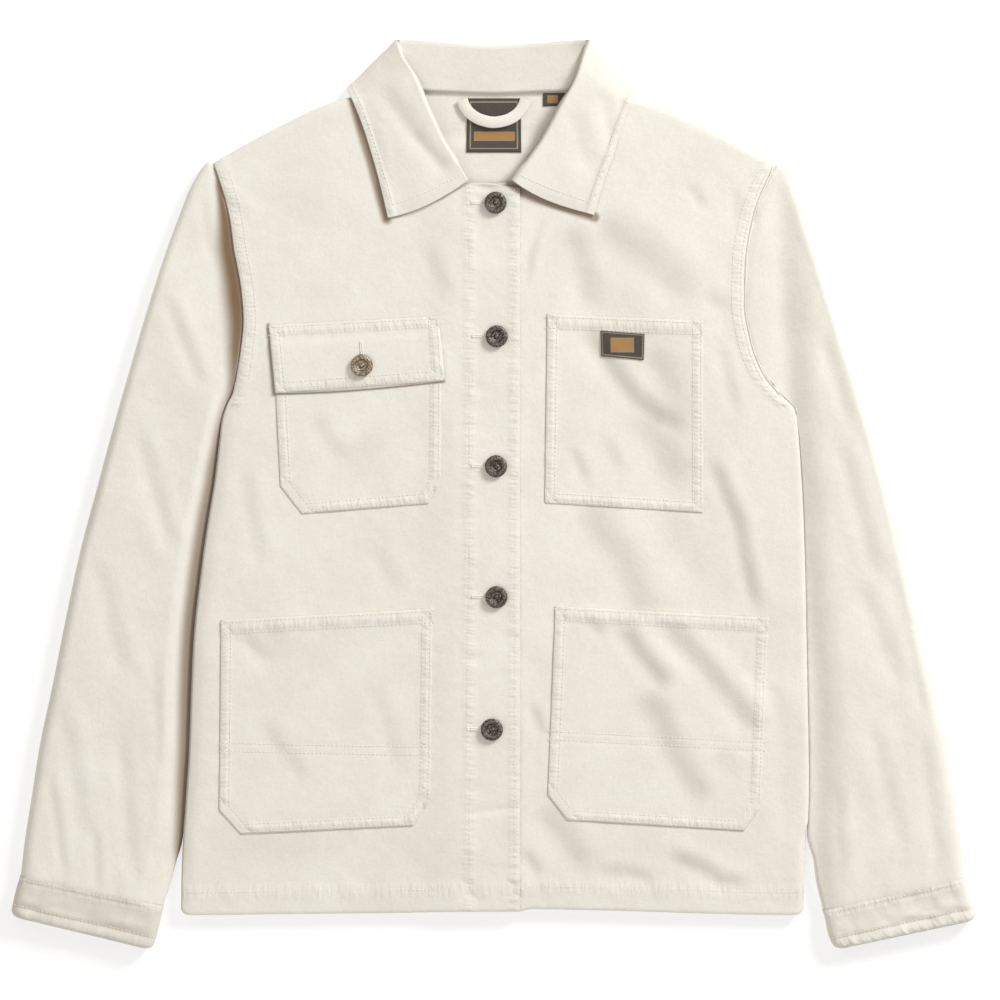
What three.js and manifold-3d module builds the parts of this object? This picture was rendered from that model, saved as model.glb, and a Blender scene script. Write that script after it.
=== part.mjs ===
// A women's button-through chore jacket in undyed cotton canvas, laid flat on its back.
// Millimetres. +Z is up from the table, +Y runs from the hem to the collar, and +X is to the
// wearer's left. The origin is on the table, under the middle of the jacket's outline.
// "Right" and "left" in names are the wearer's: the wearer's right lies at negative X.

import * as THREE from "three";
import Module from "manifold-3d";

const wasm = await Module();
wasm.setup();

// Cloth thicknesses
const CLOTH = 1.2;
const DOUBLED = 2.0;
const COLLAR_PLY = 2.2;
const SEAM_GAP = 0.4;

// Heights above the table
const LOFT = 11.5;
const HEM_LOFT = 10.2;
const HEM_ZONE = 60;
const SIDE_ROLL = 6;
const SIDE_SEAM_Z = 5.5;
const PLACKET_LIFT = 2.9;

// Body lengths
const HEM_Y = -332;
const HEM_DEPTH = 18;
const UNDERARM_Y = 80;
const CENTRE_EDGE_RIGHT = 20.4;
const CENTRE_EDGE_LEFT = -18;
const PLACKET_INNER = -20;

// Turns rows of numbers into objects with named columns.
function table(columns, rows) {
  const names = columns.split(" ");
  return rows.map((row) => Object.fromEntries(names.map((name, i) => [name, row[i]])));
}

// Body edges, hem to shoulder: the side seam, then the armhole from the underarm up.
const EDGE_RIGHT = table("y x", [
  [-332, -250.5], [-302, -250], [-246, -248.2], [-166, -246.6], [-118, -243.8], [-54, -236],
  [-18, -231], [22, -224.5], [50, -218], [80, -211], [112, -207], [135, -206.4],
  [158, -207], [190, -210.2], [220, -215], [245, -219.6], [263.5, -224.5],
]);
const EDGE_LEFT = table("y x", [
  [-332, 247], [-280, 248.5], [-233, 250], [-139, 248.5], [-22, 246], [34, 243],
  [64, 240], [80, 226], [96, 214], [121, 204.5], [151, 199.6], [183, 200.4], [222, 206.8],
  [263, 223.5],
]);

// Shoulder seam then neckline of each front, from the shoulder point to the centre-front edge.
const TOP_RIGHT = table("x y", [
  [-224.5, 263.5], [-213, 270.5], [-180, 288.5], [-131, 311.5], [-112, 317], [-87, 325],
  [-83, 320], [-75, 308], [-60.4, 284], [-45, 260], [-27, 248], [-3, 246], [20.4, 243.5],
]);
const TOP_LEFT = table("x y", [
  [223.5, 263], [212, 270.5], [178, 288.5], [127.6, 311.5], [109, 317], [85, 325],
  [81, 320], [73, 308], [57, 284], [42, 261], [24, 250], [3, 247], [-18, 245],
]);
const TOP_BACK = table("x y", [
  [-224.5, 263.5], [-213, 270.5], [-180, 288.5], [-131, 311.5], [-112, 317], [-87, 325],
  [-76, 322.2], [-60, 319.4], [-30, 317.6], [0, 317], [30, 317.6], [60, 319.4],
  [75, 322.2], [85, 325], [109, 317], [127.6, 311.5], [178, 288.5], [212, 270.5], [223.5, 263],
]);

// The largest folds: a soft ridge (rise above 0) or trough along a line from x0, y0 to x1, y1.
const FOLDS = table("x0 y0 x1 y1 width rise", [
  [78, 210, 148, 148, 15, -1.6],
  [62, 134, 112, 74, 12, -2.3],
  [108, 80, 160, 22, 12, -2.0],
  [56, -12, 118, -92, 13, -2.2],
  [174, -6, 211, -94, 9, -1.8],
  [72, -98, 136, -160, 12, -2.3],
  [132, -108, 203, -170, 9, -1.8],
  [112, -164, 168, -252, 11, -2.3],
  [22, -226, 82, -298, 10, -2.0],
  [92, -300, 214, -316, 9, -1.4],
  [100, -40, 160, -110, 14, 1.4],
  [140, -150, 190, -215, 14, 1.4],
  [-196, -108, -170, -142, 10, -1.2],
  [-240, -290, -60, -280, 12, -1.0],
  [-190, 250, -150, 205, 14, -1.2],
  [-120, 40, -95, -60, 26, -1.0],
]);

const smooth = (t) => {
  const c = Math.min(1, Math.max(0, t));
  return c * c * (3 - 2 * c);
};
const lerp = (a, b, t) => a + (b - a) * t;
const bell = (t) => Math.exp(-(t ** 2));
const roll = (t) => Math.sqrt(1 - (1 - Math.min(1, Math.max(0, t))) ** 2);

// Reads column `out` of a table at `value` of column `by`, on a smooth monotone curve.
function read(rows, by, out, value) {
  const up = rows[rows.length - 1][by] > rows[0][by] ? 1 : -1;
  const v = value * up;
  const at = (i) => rows[i][by] * up;
  if (v <= at(0)) return rows[0][out];
  const last = rows.length - 1;
  if (v >= at(last)) return rows[last][out];
  let i = 0;
  while (at(i + 1) < v) i++;
  const slope = (k) => {
    if (k <= 0 || k >= last) {
      const a = Math.min(Math.max(k, 0), last - 1);
      return (rows[a + 1][out] - rows[a][out]) / (at(a + 1) - at(a));
    }
    const before = (rows[k][out] - rows[k - 1][out]) / (at(k) - at(k - 1));
    const after = (rows[k + 1][out] - rows[k][out]) / (at(k + 1) - at(k));
    return before * after <= 0 ? 0 : (2 * before * after) / (before + after);
  };
  const h = at(i + 1) - at(i);
  const t = (v - at(i)) / h;
  const a = rows[i][out];
  const b = rows[i + 1][out];
  return (
    (2 * t ** 3 - 3 * t ** 2 + 1) * a +
    (t ** 3 - 2 * t ** 2 + t) * h * slope(i) +
    (-2 * t ** 3 + 3 * t ** 2) * b +
    (t ** 3 - t ** 2) * h * slope(i + 1)
  );
}

// How much of a fold's rise a point gets: full on its line, fading over its width and at its ends.
function foldShare(fold, x, y) {
  const dx = fold.x1 - fold.x0;
  const dy = fold.y1 - fold.y0;
  const length = Math.hypot(dx, dy);
  const t = ((x - fold.x0) * dx + (y - fold.y0) * dy) / length ** 2;
  const off = ((x - fold.x0) * dy - (y - fold.y0) * dx) / length;
  return bell(off / fold.width) * smooth(t * 4 + 0.6) * smooth((1 - t) * 4 + 0.6);
}

// Top of the fronts above the table, before the edges roll down and the overlap is lifted.
function frontLoft(x, y) {
  const hem = smooth((HEM_ZONE - (y - HEM_Y)) / HEM_ZONE);
  let z = lerp(LOFT, HEM_LOFT, hem);
  for (const fold of FOLDS) z += fold.rise * foldShare(fold, x, y);
  return z;
}

// Surface normal of a point grid, by the differences to its neighbours.
function normalAt(grid, j, i, wraps) {
  const rows = grid.length;
  const columns = grid[0].length;
  const pick = (k) => (wraps ? (k + columns) % columns : Math.min(columns - 1, Math.max(0, k)));
  const across = grid[j][pick(i + 1)].clone().sub(grid[j][pick(i - 1)]);
  const up = grid[Math.min(rows - 1, j + 1)][i].clone().sub(grid[Math.max(0, j - 1)][i]);
  return across.cross(up).normalize();
}

// A closed wall between a grid of outer points and the same grid moved in by the cloth's thickness.
// `facing` is 1 where the outer side is on the grid's own normal, else -1; `wraps` makes a tube.
// `keep` may hold the inner points back, such as at a seam's height.
function wall(grid, ply, facing, wraps = false, keep = (p) => p) {
  return shell(grid, insideOf(grid, ply, facing, wraps, keep), facing, wraps);
}

function insideOf(grid, ply, facing, wraps, keep) {
  return grid.map((row, j) =>
    row.map((p, i) =>
      keep(p.clone().addScaledVector(normalAt(grid, j, i, wraps), -facing * ply(p))),
    ),
  );
}

// The closed solid between two grids of the same layout, outer first.
function shell(outer, inner, facing, wraps) {
  const rows = outer.length;
  const columns = outer[0].length;
  const points = [...outer.flat(), ...inner.flat()];
  const far = rows * columns;
  const at = (j, i) => j * columns + ((i + columns) % columns);
  const faces = [];
  const quad = (a, b, c, d) => faces.push(a, b, c, a, c, d);
  const spans = wraps ? columns : columns - 1;
  for (let j = 0; j < rows - 1; j++)
    for (let i = 0; i < spans; i++) {
      const [a, b, c, d] = [at(j, i), at(j, i + 1), at(j + 1, i + 1), at(j + 1, i)];
      quad(a, b, c, d);
      quad(a + far, d + far, c + far, b + far);
    }
  for (let i = 0; i < spans; i++) {
    quad(at(0, i + 1), at(0, i), at(0, i) + far, at(0, i + 1) + far);
    const [a, b] = [at(rows - 1, i), at(rows - 1, i + 1)];
    quad(a, b, b + far, a + far);
  }
  if (!wraps)
    for (let j = 0; j < rows - 1; j++) {
      quad(at(j, 0), at(j + 1, 0), at(j + 1, 0) + far, at(j, 0) + far);
      const [a, b] = [at(j, columns - 1), at(j + 1, columns - 1)];
      quad(b, a, a + far, b + far);
    }
  if (facing < 0)
    for (let k = 0; k < faces.length; k += 3)
      [faces[k + 1], faces[k + 2]] = [faces[k + 2], faces[k + 1]];
  const geometry = new THREE.BufferGeometry();
  geometry.setAttribute(
    "position",
    new THREE.Float32BufferAttribute(points.flatMap((p) => [p.x, p.y, p.z]), 3),
  );
  geometry.setIndex(faces);
  geometry.computeVertexNormals();
  return geometry;
}

const CANVAS = new THREE.MeshStandardMaterial({ color: 0xece5d8, roughness: 0.9 });
const LABEL_CLOTH = new THREE.MeshStandardMaterial({ color: 0x3f3833, roughness: 0.8 });
const DARK_METAL = new THREE.MeshStandardMaterial({
  color: 0x5a544c,
  roughness: 0.4,
  metalness: 1,
});
const PALE_METAL = new THREE.MeshStandardMaterial({
  color: 0x9a8f7c,
  roughness: 0.4,
  metalness: 1,
});

const jacket = new THREE.Group();

function addPiece(name, geometry, material = CANVAS) {
  const mesh = new THREE.Mesh(geometry, material.clone());
  mesh.name = name;
  jacket.add(mesh);
}

// Between the library's geometry and the solid kernel's, for cutting one piece's outline.
function toSolid(geometry) {
  return new wasm.Manifold(
    new wasm.Mesh({
      numProp: 3,
      vertProperties: Float32Array.from(geometry.attributes.position.array),
      triVerts: Uint32Array.from(geometry.index.array),
    }),
  );
}

function fromSolid(solid) {
  const mesh = solid.getMesh();
  const geometry = new THREE.BufferGeometry();
  const points = Array.from(mesh.vertProperties);
  geometry.setAttribute("position", new THREE.Float32BufferAttribute(points, 3));
  geometry.setIndex(Array.from(mesh.triVerts));
  geometry.computeVertexNormals();
  return geometry;
}

// An upright prism over a closed outline of [x, y] points given anticlockwise.
function prism(outline, low, high) {
  const n = outline.length;
  const points = [...outline.map(([x, y]) => [x, y, low]), ...outline.map(([x, y]) => [x, y, high])];
  const flat = THREE.ShapeUtils.triangulateShape(outline.map(([x, y]) => new THREE.Vector2(x, y)), []);
  const faces = [];
  for (const [a, b, c] of flat) faces.push(a, c, b, a + n, b + n, c + n);
  for (let i = 0; i < n; i++) {
    const j = (i + 1) % n;
    faces.push(i, j, j + n, i, j + n, i + n);
  }
  const geometry = new THREE.BufferGeometry();
  geometry.setAttribute("position", new THREE.Float32BufferAttribute(points.flat(), 3));
  geometry.setIndex(faces);
  return geometry;
}

// A lofted panel: columns run from the hem to the top edge, and lean with the body's edges.
function panelGrid(columnShares, levels, topOf, spread, heightOf) {
  return levels.map((v) =>
    columnShares.map((s) => {
      const y = lerp(HEM_Y, topOf(s), v);
      return new THREE.Vector3(spread(s, y), y, heightOf(s, y));
    }),
  );
}

const FRONT_COLUMNS = [
  0, 0.0066, 0.022, 0.08, 0.15, 0.23, 0.31, 0.39, 0.47, 0.562, 0.6, 0.65, 0.71, 0.78, 0.84, 0.92, 1,
];
const LEVELS = [
  0, 0.03, 0.075, 0.12, 0.165, 0.21, 0.255, 0.3, 0.345, 0.39, 0.435, 0.48, 0.525, 0.57, 0.615, 0.66,
  0.69, 0.715, 0.75, 0.79, 0.83, 0.87, 0.91, 0.95, 0.987, 0.9965, 1,
];
const ARMHOLE_DROP = 1.0;
const LEFT_SIDE_ROLL = 3;
const NECK_POINT_SHARE = 0.56;

// How far the body's edge is rolled down to the side seam: 1 at the side, 0 round the armhole.
const sideRollShare = (y) => 1 - smooth((y - (UNDERARM_Y - 18)) / 20);

// One front. Its outer points stand on frontLoft, roll down at the side and the shoulder,
// and rise over the other front where the two overlap. The wearer's right side is rolled down
// all the way to the shoulder, because the sleeve is folded away from it in a deep valley.
function frontGrid(edge, top, centreX, liftOf) {
  const onRight = top[0].x < 0;
  const sideRoll = onRight ? SIDE_ROLL : LEFT_SIDE_ROLL;
  const seam = SIDE_SEAM_Z + SEAM_GAP / 2;
  const topOf = (s) => read(top, "x", "y", lerp(top[0].x, centreX, s));
  return panelGrid(
    FRONT_COLUMNS,
    LEVELS,
    topOf,
    (s, y) => lerp(read(edge, "y", "x", y), centreX, s),
    (s, y) => {
      const edgeX = read(edge, "y", "x", y);
      const x = lerp(edgeX, centreX, s);
      const high = frontLoft(x, y) + liftOf(x);
      const low = lerp(high - ARMHOLE_DROP, seam, onRight ? 1 : sideRollShare(y));
      const sided = lerp(low, high, roll(Math.abs(x - edgeX) / sideRoll));
      const rolled = lerp(seam, sided, roll(((topOf(s) - y) * 0.894) / SIDE_ROLL));
      return s < NECK_POINT_SHARE ? rolled : sided;
    },
  );
}

const hemPly = (p) => lerp(DOUBLED, CLOTH, smooth((p.y - HEM_Y - HEM_DEPTH) / 6));
const placketPly = (p) => Math.max(hemPly(p), lerp(CLOTH, DOUBLED, smooth((p.x - PLACKET_INNER + 8) / 6)));
const placketLift = (x) => PLACKET_LIFT * smooth((x + 64) / 36);
const aboveSeam = (p) => p.setZ(Math.max(p.z, SIDE_SEAM_Z + SEAM_GAP / 2));
const belowSeam = (p) => p.setZ(Math.min(p.z, SIDE_SEAM_Z - SEAM_GAP / 2));

const rightFront = frontGrid(EDGE_RIGHT, TOP_RIGHT, CENTRE_EDGE_RIGHT, placketLift);
const leftFront = frontGrid(EDGE_LEFT, TOP_LEFT, CENTRE_EDGE_LEFT, () => 0);
addPiece("front_right", wall(rightFront, placketPly, 1, false, aboveSeam));
addPiece("front_left", wall(leftFront, hemPly, -1, false, aboveSeam));

// The back lies flat on the table, curls up to the seams, and lies over the collar's fall.
const BACK_COLUMNS = [
  0, 0.0035, 0.0125, 0.1, 0.2, 0.28, 0.308, 0.335, 0.37, 0.44, 0.5, 0.56, 0.63, 0.665, 0.692, 0.72,
  0.8, 0.9, 0.9875, 0.9965, 1,
];
const OVER_COLLAR_Z = COLLAR_PLY + SEAM_GAP;

function backGrid() {
  const seam = SIDE_SEAM_Z - SEAM_GAP / 2;
  const left = TOP_BACK[0].x;
  const right = TOP_BACK[TOP_BACK.length - 1].x;
  const topOf = (s) => read(TOP_BACK, "x", "y", lerp(left, right, s));
  return panelGrid(
    BACK_COLUMNS,
    LEVELS,
    topOf,
    (s, y) => lerp(read(EDGE_RIGHT, "y", "x", y), read(EDGE_LEFT, "y", "x", y), s),
    (s, y) => {
      const width = read(EDGE_LEFT, "y", "x", y) - read(EDGE_RIGHT, "y", "x", y);
      const x = lerp(left, right, s);
      const side = seam * sideRollShare(y) * (1 - roll((Math.min(s, 1 - s) * width) / SIDE_ROLL));
      const overCollar = OVER_COLLAR_Z * smooth((y - 280) / 14) * smooth((132 - Math.abs(x)) / 14);
      const atShoulder =
        Math.abs(x) > 84 ? 1 - roll(((topOf(s) - y) * 0.894) / SIDE_ROLL) : 0;
      return Math.max(side, lerp(overCollar, seam, atShoulder));
    },
  );
}
const backOuter = backGrid();
addPiece("back", wall(backOuter, hemPly, -1, false, belowSeam));

// Sleeves. Each row is one ring across the sleeve: its outer end and its inner end in plan.
const SLEEVE_RIGHT = table("ox oy ix iy", [
  [-219, 262, -206, 84], [-232, 262, -211, 82], [-245, 240, -213, 76], [-253.2, 218, -216, 68],
  [-262, 194.4, -218.5, 58], [-270, 170.4, -221, 47], [-279.5, 140, -224, 32],
  [-291.6, 98.4, -222.5, 3], [-305.2, 50.4, -228.5, -32], [-318, 2.4, -235, -68],
  [-330.8, -45.6, -240.5, -104], [-342.5, -100, -246.5, -150], [-354, -153, -251.5, -196],
  [-364.5, -200, -254, -238], [-372, -244, -256, -270], [-377.5, -280, -259.5, -304],
  [-379.5, -306.5, -264.5, -330.4],
]);
const SLEEVE_LEFT = table("ox oy ix iy", [
  [218, 261, 222, 90], [231, 260.5, 229, 84], [241, 240, 234, 76], [247.6, 218, 239, 68],
  [255.6, 194.4, 243, 58], [262.8, 170.4, 246, 47], [272.5, 140, 249, 32],
  [286.8, 98.4, 250.5, 3], [300.4, 50.4, 251.5, -32], [314, 2.4, 252.5, -68],
  [326, -45.6, 253, -104], [338, -100, 253.5, -150], [350, -153, 253.8, -196],
  [360.5, -200, 253.5, -238], [367.5, -244, 253.5, -270], [372.6, -280, 256, -304],
  [374.6, -308.5, 262.6, -334],
]);
const SLEEVE_CROWN = 15.5;
const SLEEVE_RIM_Z = 5;
const SLEEVE_ROLL = 8;
const INNER_RIM_Z = 2.1;
const INNER_ROLL = 2.5;
const BESIDE_BODY = 1.2;
const FREE_BELOW_Y = -280;
const ARMHOLE_BOW = [1, 1, 0.75, 0.5, 0.3, 0.15, 0.05];
const CUFF_CROWN = 15;

// The right sleeve falls into a valley along the body; the left one lies level with it and
// has a shallow dip whose middle runs down the sleeve.
const VALLEY_WIDTH = 23;
const VALLEY_LOW = table("ring z", [[0, 6.2], [3, 5.2], [6, 3.4], [13, 3.4], [15, 7], [16, 10.5]]);
const DIP_LINE = table("y x", [
  [-334, 262], [-286, 263], [-206, 267], [-86, 258], [34, 249], [96, 244], [154, 240],
  [217, 237], [262, 235],
]);
const DIP_DEPTH = 2.8;
const DIP_WIDTH = 13;
const BESIDE_DIP_Z = 11;

function sleeveTop(onRight, ringIndex, crown, inward, x, y) {
  if (onRight) {
    const share = Math.max(0, 1 - inward / VALLEY_WIDTH) ** 1.4;
    return lerp(crown, read(VALLEY_LOW, "ring", "z", ringIndex), share);
  }
  const dipX = read(DIP_LINE, "y", "x", y);
  const base = lerp(Math.min(crown, BESIDE_DIP_Z), crown, smooth((x - dipX + 4) / 30));
  return base - DIP_DEPTH * bell((x - dipX) / DIP_WIDTH) * smooth(ringIndex / 2);
}

const RING_TOP = [0, 0.012, 0.04, 0.1, 0.22, 0.38, 0.54, 0.68, 0.79, 0.87, 0.93, 0.97, 0.988];
const RING_BOTTOM = [1, 0.97, 0.85, 0.65, 0.45, 0.25, 0.08, 0.025];

function sleeveGrid(rings, edge) {
  const outward = Math.sign(rings[0].ox);
  return rings.map((row, j) => {
    const beside = read(edge, "y", "x", row.iy) + outward * BESIDE_BODY;
    const ring = { ...row, ix: j > 1 && row.iy > FREE_BELOW_Y ? beside : row.ix };
    const length = Math.hypot(ring.ix - ring.ox, ring.iy - ring.oy);
    const bow = ARMHOLE_BOW[j] ?? 0;
    const fromArmhole = Math.min(1, j / 6);
    const crown = lerp(LOFT - ARMHOLE_DROP, SLEEVE_CROWN, smooth(fromArmhole));
    const inPlan = (w) => {
      const x = lerp(ring.ox, ring.ix, w);
      const y = lerp(ring.oy, ring.iy, w);
      const straight = lerp(EDGE_AT_SHOULDER[outward], EDGE_AT_UNDERARM[outward], w);
      const seamX = read(edge, "y", "x", lerp(262, 84, w));
      return [x + bow * (seamX - straight), y];
    };
    const top = RING_TOP.map((w) => {
      const [x, y] = inPlan(w);
      const rise = roll((w * length) / SLEEVE_ROLL);
      const inner = roll(((1 - w) * length) / INNER_ROLL);
      const high = sleeveTop(outward < 0, j, crown, (1 - w) * length, x, y);
      return new THREE.Vector3(x, y, lerp(w < 0.5 ? SLEEVE_RIM_Z : INNER_RIM_Z, high, rise * inner));
    });
    const bottom = RING_BOTTOM.map((w) => {
      const [x, y] = inPlan(w);
      const away = Math.min(w, 1 - w) * length;
      const rim = w === 1 ? INNER_RIM_Z : SLEEVE_RIM_Z;
      return new THREE.Vector3(x, y, rim * (1 - roll(away / SLEEVE_ROLL)));
    });
    return [...top, ...bottom];
  });
}
const EDGE_AT_SHOULDER = { "-1": -224.2, "1": 223 };
const EDGE_AT_UNDERARM = { "-1": -210.3, "1": 223 };

// The body's outline with a seam's gap round it: what a sleeve must stay clear of.
function bodyOutline() {
  const sideAt = (edge, top, gap) =>
    LEVELS.map((v) => lerp(HEM_Y, top, v)).map((y) => [read(edge, "y", "x", y) + gap, y]);
  const leftSide = sideAt(EDGE_RIGHT, TOP_RIGHT[0].y, -SEAM_GAP * 1.5);
  const rightSide = sideAt(EDGE_LEFT, TOP_LEFT[0].y, SEAM_GAP * 1.5);
  const across = TOP_BACK.slice(1, -1).map(({ x, y }) => [x, y + 1]);
  return [[0, HEM_Y - 1], ...rightSide, ...across.reverse(), ...leftSide.reverse()];
}
const bodySpace = toSolid(prism(bodyOutline(), -5, 40));
const sleevePly = () => CLOTH;
const cut = (geometry) => fromSolid(toSolid(geometry).subtract(bodySpace));
const rightSleeve = sleeveGrid(SLEEVE_RIGHT, EDGE_RIGHT);
const leftSleeve = sleeveGrid(SLEEVE_LEFT, EDGE_LEFT);
addPiece("sleeve_right", cut(wall(rightSleeve, sleevePly, -1, true)));
addPiece("sleeve_left", cut(wall(leftSleeve, sleevePly, 1, true)));

// Cuffs: flattened bands at the sleeve ends, in plan from the seam to the free edge.
const CUFF_PLY = 2.0;
const CUFF_ROLL = 6;
const CUFF_RIGHT = table("ox oy ix iy crown", [
  [-379.9, -307.1, -264.3, -331.2, 15.2],
  [-382.2, -314, -265.8, -338.2, 16.4],
  [-384.2, -324, -268.4, -350, 16.2],
  [-386.4, -334.6, -271.6, -362, 15.2],
  [-386.9, -336.8, -272.2, -364.2, 13.6],
]);
const CUFF_LEFT = table("ox oy ix iy crown", [
  [375.4, -309.2, 262.4, -334.8, 15.2],
  [378, -316, 264, -342, 16.4],
  [381, -326, 266, -352, 16.2],
  [384.5, -338, 270, -362, 15.2],
  [385, -340.2, 270.8, -364, 13.6],
]);
const CUFF_TOP = [0, 0.015, 0.05, 0.2, 0.4, 0.6, 0.8, 0.95, 0.985];
const CUFF_BOTTOM = [1, 0.98, 0.9, 0.65, 0.35, 0.1, 0.02];

function cuffGrid(rings) {
  return rings.map(({ ox, oy, ix, iy, crown }) => {
    const length = Math.hypot(ix - ox, iy - oy);
    const point = (w, z) => new THREE.Vector3(lerp(ox, ix, w), lerp(oy, iy, w), z);
    const rim = crown / 2;
    const away = (w) => roll((Math.min(w, 1 - w) * length) / CUFF_ROLL);
    return [
      ...CUFF_TOP.map((w) => point(w, lerp(rim, crown, away(w)))),
      ...CUFF_BOTTOM.map((w) => point(w, rim * (1 - away(w)))),
    ];
  });
}
addPiece("cuff_right", wall(cuffGrid(CUFF_RIGHT), () => CUFF_PLY, -1, true));
addPiece("cuff_left", wall(cuffGrid(CUFF_LEFT), () => CUFF_PLY, 1, true));

// The collar, folded over at its roll line: rows run from the right tip round the back to the left.
// n is the seam at the neck, r the roll line, e the free edge.
const COLLAR_MIDDLE = -1.5;
const COLLAR_HALF = table("nx ny nz rx ry rz ex ey ez fall", [
  [-28, 249.5, 17.3, -23, 249, 19.8, -82.5, 221, 19.5, 1],
  [-48, 262, 15.8, -32.5, 266, 21, -90, 245, 19.5, 1],
  [-61, 281, 14.7, -44, 286, 23, -98, 270, 18.5, 1],
  [-71, 299, 14.7, -54, 307, 23.5, -106, 295, 17.2, 1],
  [-80, 313, 14.7, -65, 334, 22, -112, 310, 15, 1],
  [-83, 329, 11, -73.5, 350, 18.5, -117, 322, 7, 1.3],
  [-75, 325.5, 6, -77, 360.5, 12, -112, 326, 3.2, 1.7],
  [-58, 319, 4.8, -66, 361, 11, -96, 321, 2.3, 2.4],
  [-32, 317.3, 4.6, -36, 358.8, 10, -60, 311, 2.3, 2.6],
  [-1.5, 316.2, 4.6, -1.5, 356.3, 10, -1.5, 309, 2.3, 2.6],
]);

// The section of one row: up the inner leaf, round the roll, down the outer leaf.
function collarSection(row) {
  const neck = new THREE.Vector3(row.nx, row.ny, row.nz);
  const top = new THREE.Vector3(row.rx, row.ry, row.rz);
  const edge = new THREE.Vector3(row.ex, row.ey, row.ez);
  const inner = [0, 0.35, 0.7, 0.92].map((t) => neck.clone().lerp(top, t));
  const outer = [0.04, 0.12, 0.3, 0.5, 0.7, 0.88, 1].map((t) => {
    const z = lerp(row.ez, row.rz, (1 - t) ** row.fall);
    return top.clone().lerp(edge, t).setZ(z);
  });
  return [...inner, top, ...outer];
}

function collarGrid() {
  const mirrored = COLLAR_HALF.slice(0, -1)
    .reverse()
    .map((row) => {
      const copy = { ...row };
      for (const key of ["nx", "rx", "ex"]) copy[key] = 2 * COLLAR_MIDDLE - row[key];
      return copy;
    });
  return [...COLLAR_HALF, ...mirrored].map(collarSection);
}
addPiece("collar", wall(collarGrid(), () => COLLAR_PLY, 1));

// What lies on a panel: a slab cut from the panel's own outer points, moved up.
const PIECE_GAP = 0.35;

function slabOn(grid, facing, lift, thickness) {
  const from = grid.map((row) => row.slice(2));
  const low = from.map((row) => row.map((p) => new THREE.Vector3(p.x, p.y, p.z + lift)));
  const high = from.map((row) => row.map((p) => new THREE.Vector3(p.x, p.y, p.z + lift + thickness)));
  return toSolid(shell(high, low, facing, false));
}

const patchOn = (grid, facing, outline, lift, thickness) =>
  fromSolid(slabOn(grid, facing, lift, thickness).intersect(toSolid(prism(outline, -5, 60))));

// Outlines, anticlockwise seen from above.
const POCKET_PLY = 1.4;
const CHEST_POCKET_RIGHT = [
  [-176.5, 112], [-171, 5.4], [-153.4, -17], [-53, -8.7], [-43, 7.7], [-42.2, 121],
];
const CHEST_FLAP = [[-180.4, 133.8], [-175, 79.3], [-39.6, 89.3], [-44.4, 140.9]];
const CHEST_POCKET_LEFT = [[41.9, 142.6], [39.5, -8.2], [166.8, -15.8], [166.3, 137.4]];
const LOWER_POCKET_RIGHT = [
  [-218.3, -101.5], [-219.9, -252.7], [-202.4, -272.6], [-65.2, -266], [-51.2, -244.8],
  [-49.2, -92.2],
];
const LOWER_POCKET_LEFT = [
  [48.3, -90.2], [42.3, -240.8], [58.2, -261.4], [198.8, -270], [212.8, -250.1], [218.8, -99.5],
];
const PATCH_LABEL = [[84.5, 129.5], [85.3, 109.2], [119, 106.1], [119.7, 126.8]];
const FLAP_PLY = 1.8;
const flapLift = PIECE_GAP * 2 + POCKET_PLY;
const labelLift = PIECE_GAP * 2 + POCKET_PLY;
addPiece("chest_pocket_right", patchOn(rightFront, 1, CHEST_POCKET_RIGHT, PIECE_GAP, POCKET_PLY));
addPiece("chest_flap", patchOn(rightFront, 1, CHEST_FLAP, flapLift, FLAP_PLY));
addPiece("chest_pocket_left", patchOn(leftFront, -1, CHEST_POCKET_LEFT, PIECE_GAP, POCKET_PLY));
addPiece("lower_pocket_right", patchOn(rightFront, 1, LOWER_POCKET_RIGHT, PIECE_GAP, POCKET_PLY));
addPiece("lower_pocket_left", patchOn(leftFront, -1, LOWER_POCKET_LEFT, PIECE_GAP, POCKET_PLY));
addPiece("patch_label", patchOn(leftFront, -1, PATCH_LABEL, labelLift, 0.8), LABEL_CLOTH);

// Buttons: turned metal discs with a raised ring, a sunk middle and a small nib.
const BUTTON_RADIUS = 9.5;
const BUTTON_SEAT = 0.45;
const BUTTON_PROFILE = table("r z", [
  [0, 0], [3.2, 0], [7.4, 0.5], [9.2, 1.4], [9.5, 2.3], [9.1, 3.2], [7.6, 4], [5.6, 3.9],
  [4.3, 2.6], [2.2, 2.3], [1.5, 3.1], [0, 3.3],
]);
const BUTTONS = table("x y", [[0.8, 231.3], [1.8, 124.8], [1.2, 21.3], [1.6, -83], [-2.1, -188.6]]);
const FLAP_BUTTON = { x: -105.8, y: 101.6 };

// The height of a grid's facets at a point in plan.
function heightOn(grid, x, y) {
  let best = -1;
  const ray = new THREE.Ray(new THREE.Vector3(x, y, 100), new THREE.Vector3(0, 0, -1));
  const hit = new THREE.Vector3();
  for (let j = 0; j < grid.length - 1; j++)
    for (let i = 0; i < grid[0].length - 1; i++) {
      const [a, b, c, d] = [grid[j][i], grid[j][i + 1], grid[j + 1][i + 1], grid[j + 1][i]];
      for (const [p, q, r] of [[a, b, c], [a, c, d]])
        if (ray.intersectTriangle(p, q, r, false, hit)) best = Math.max(best, hit.z);
    }
  return best;
}

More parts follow.
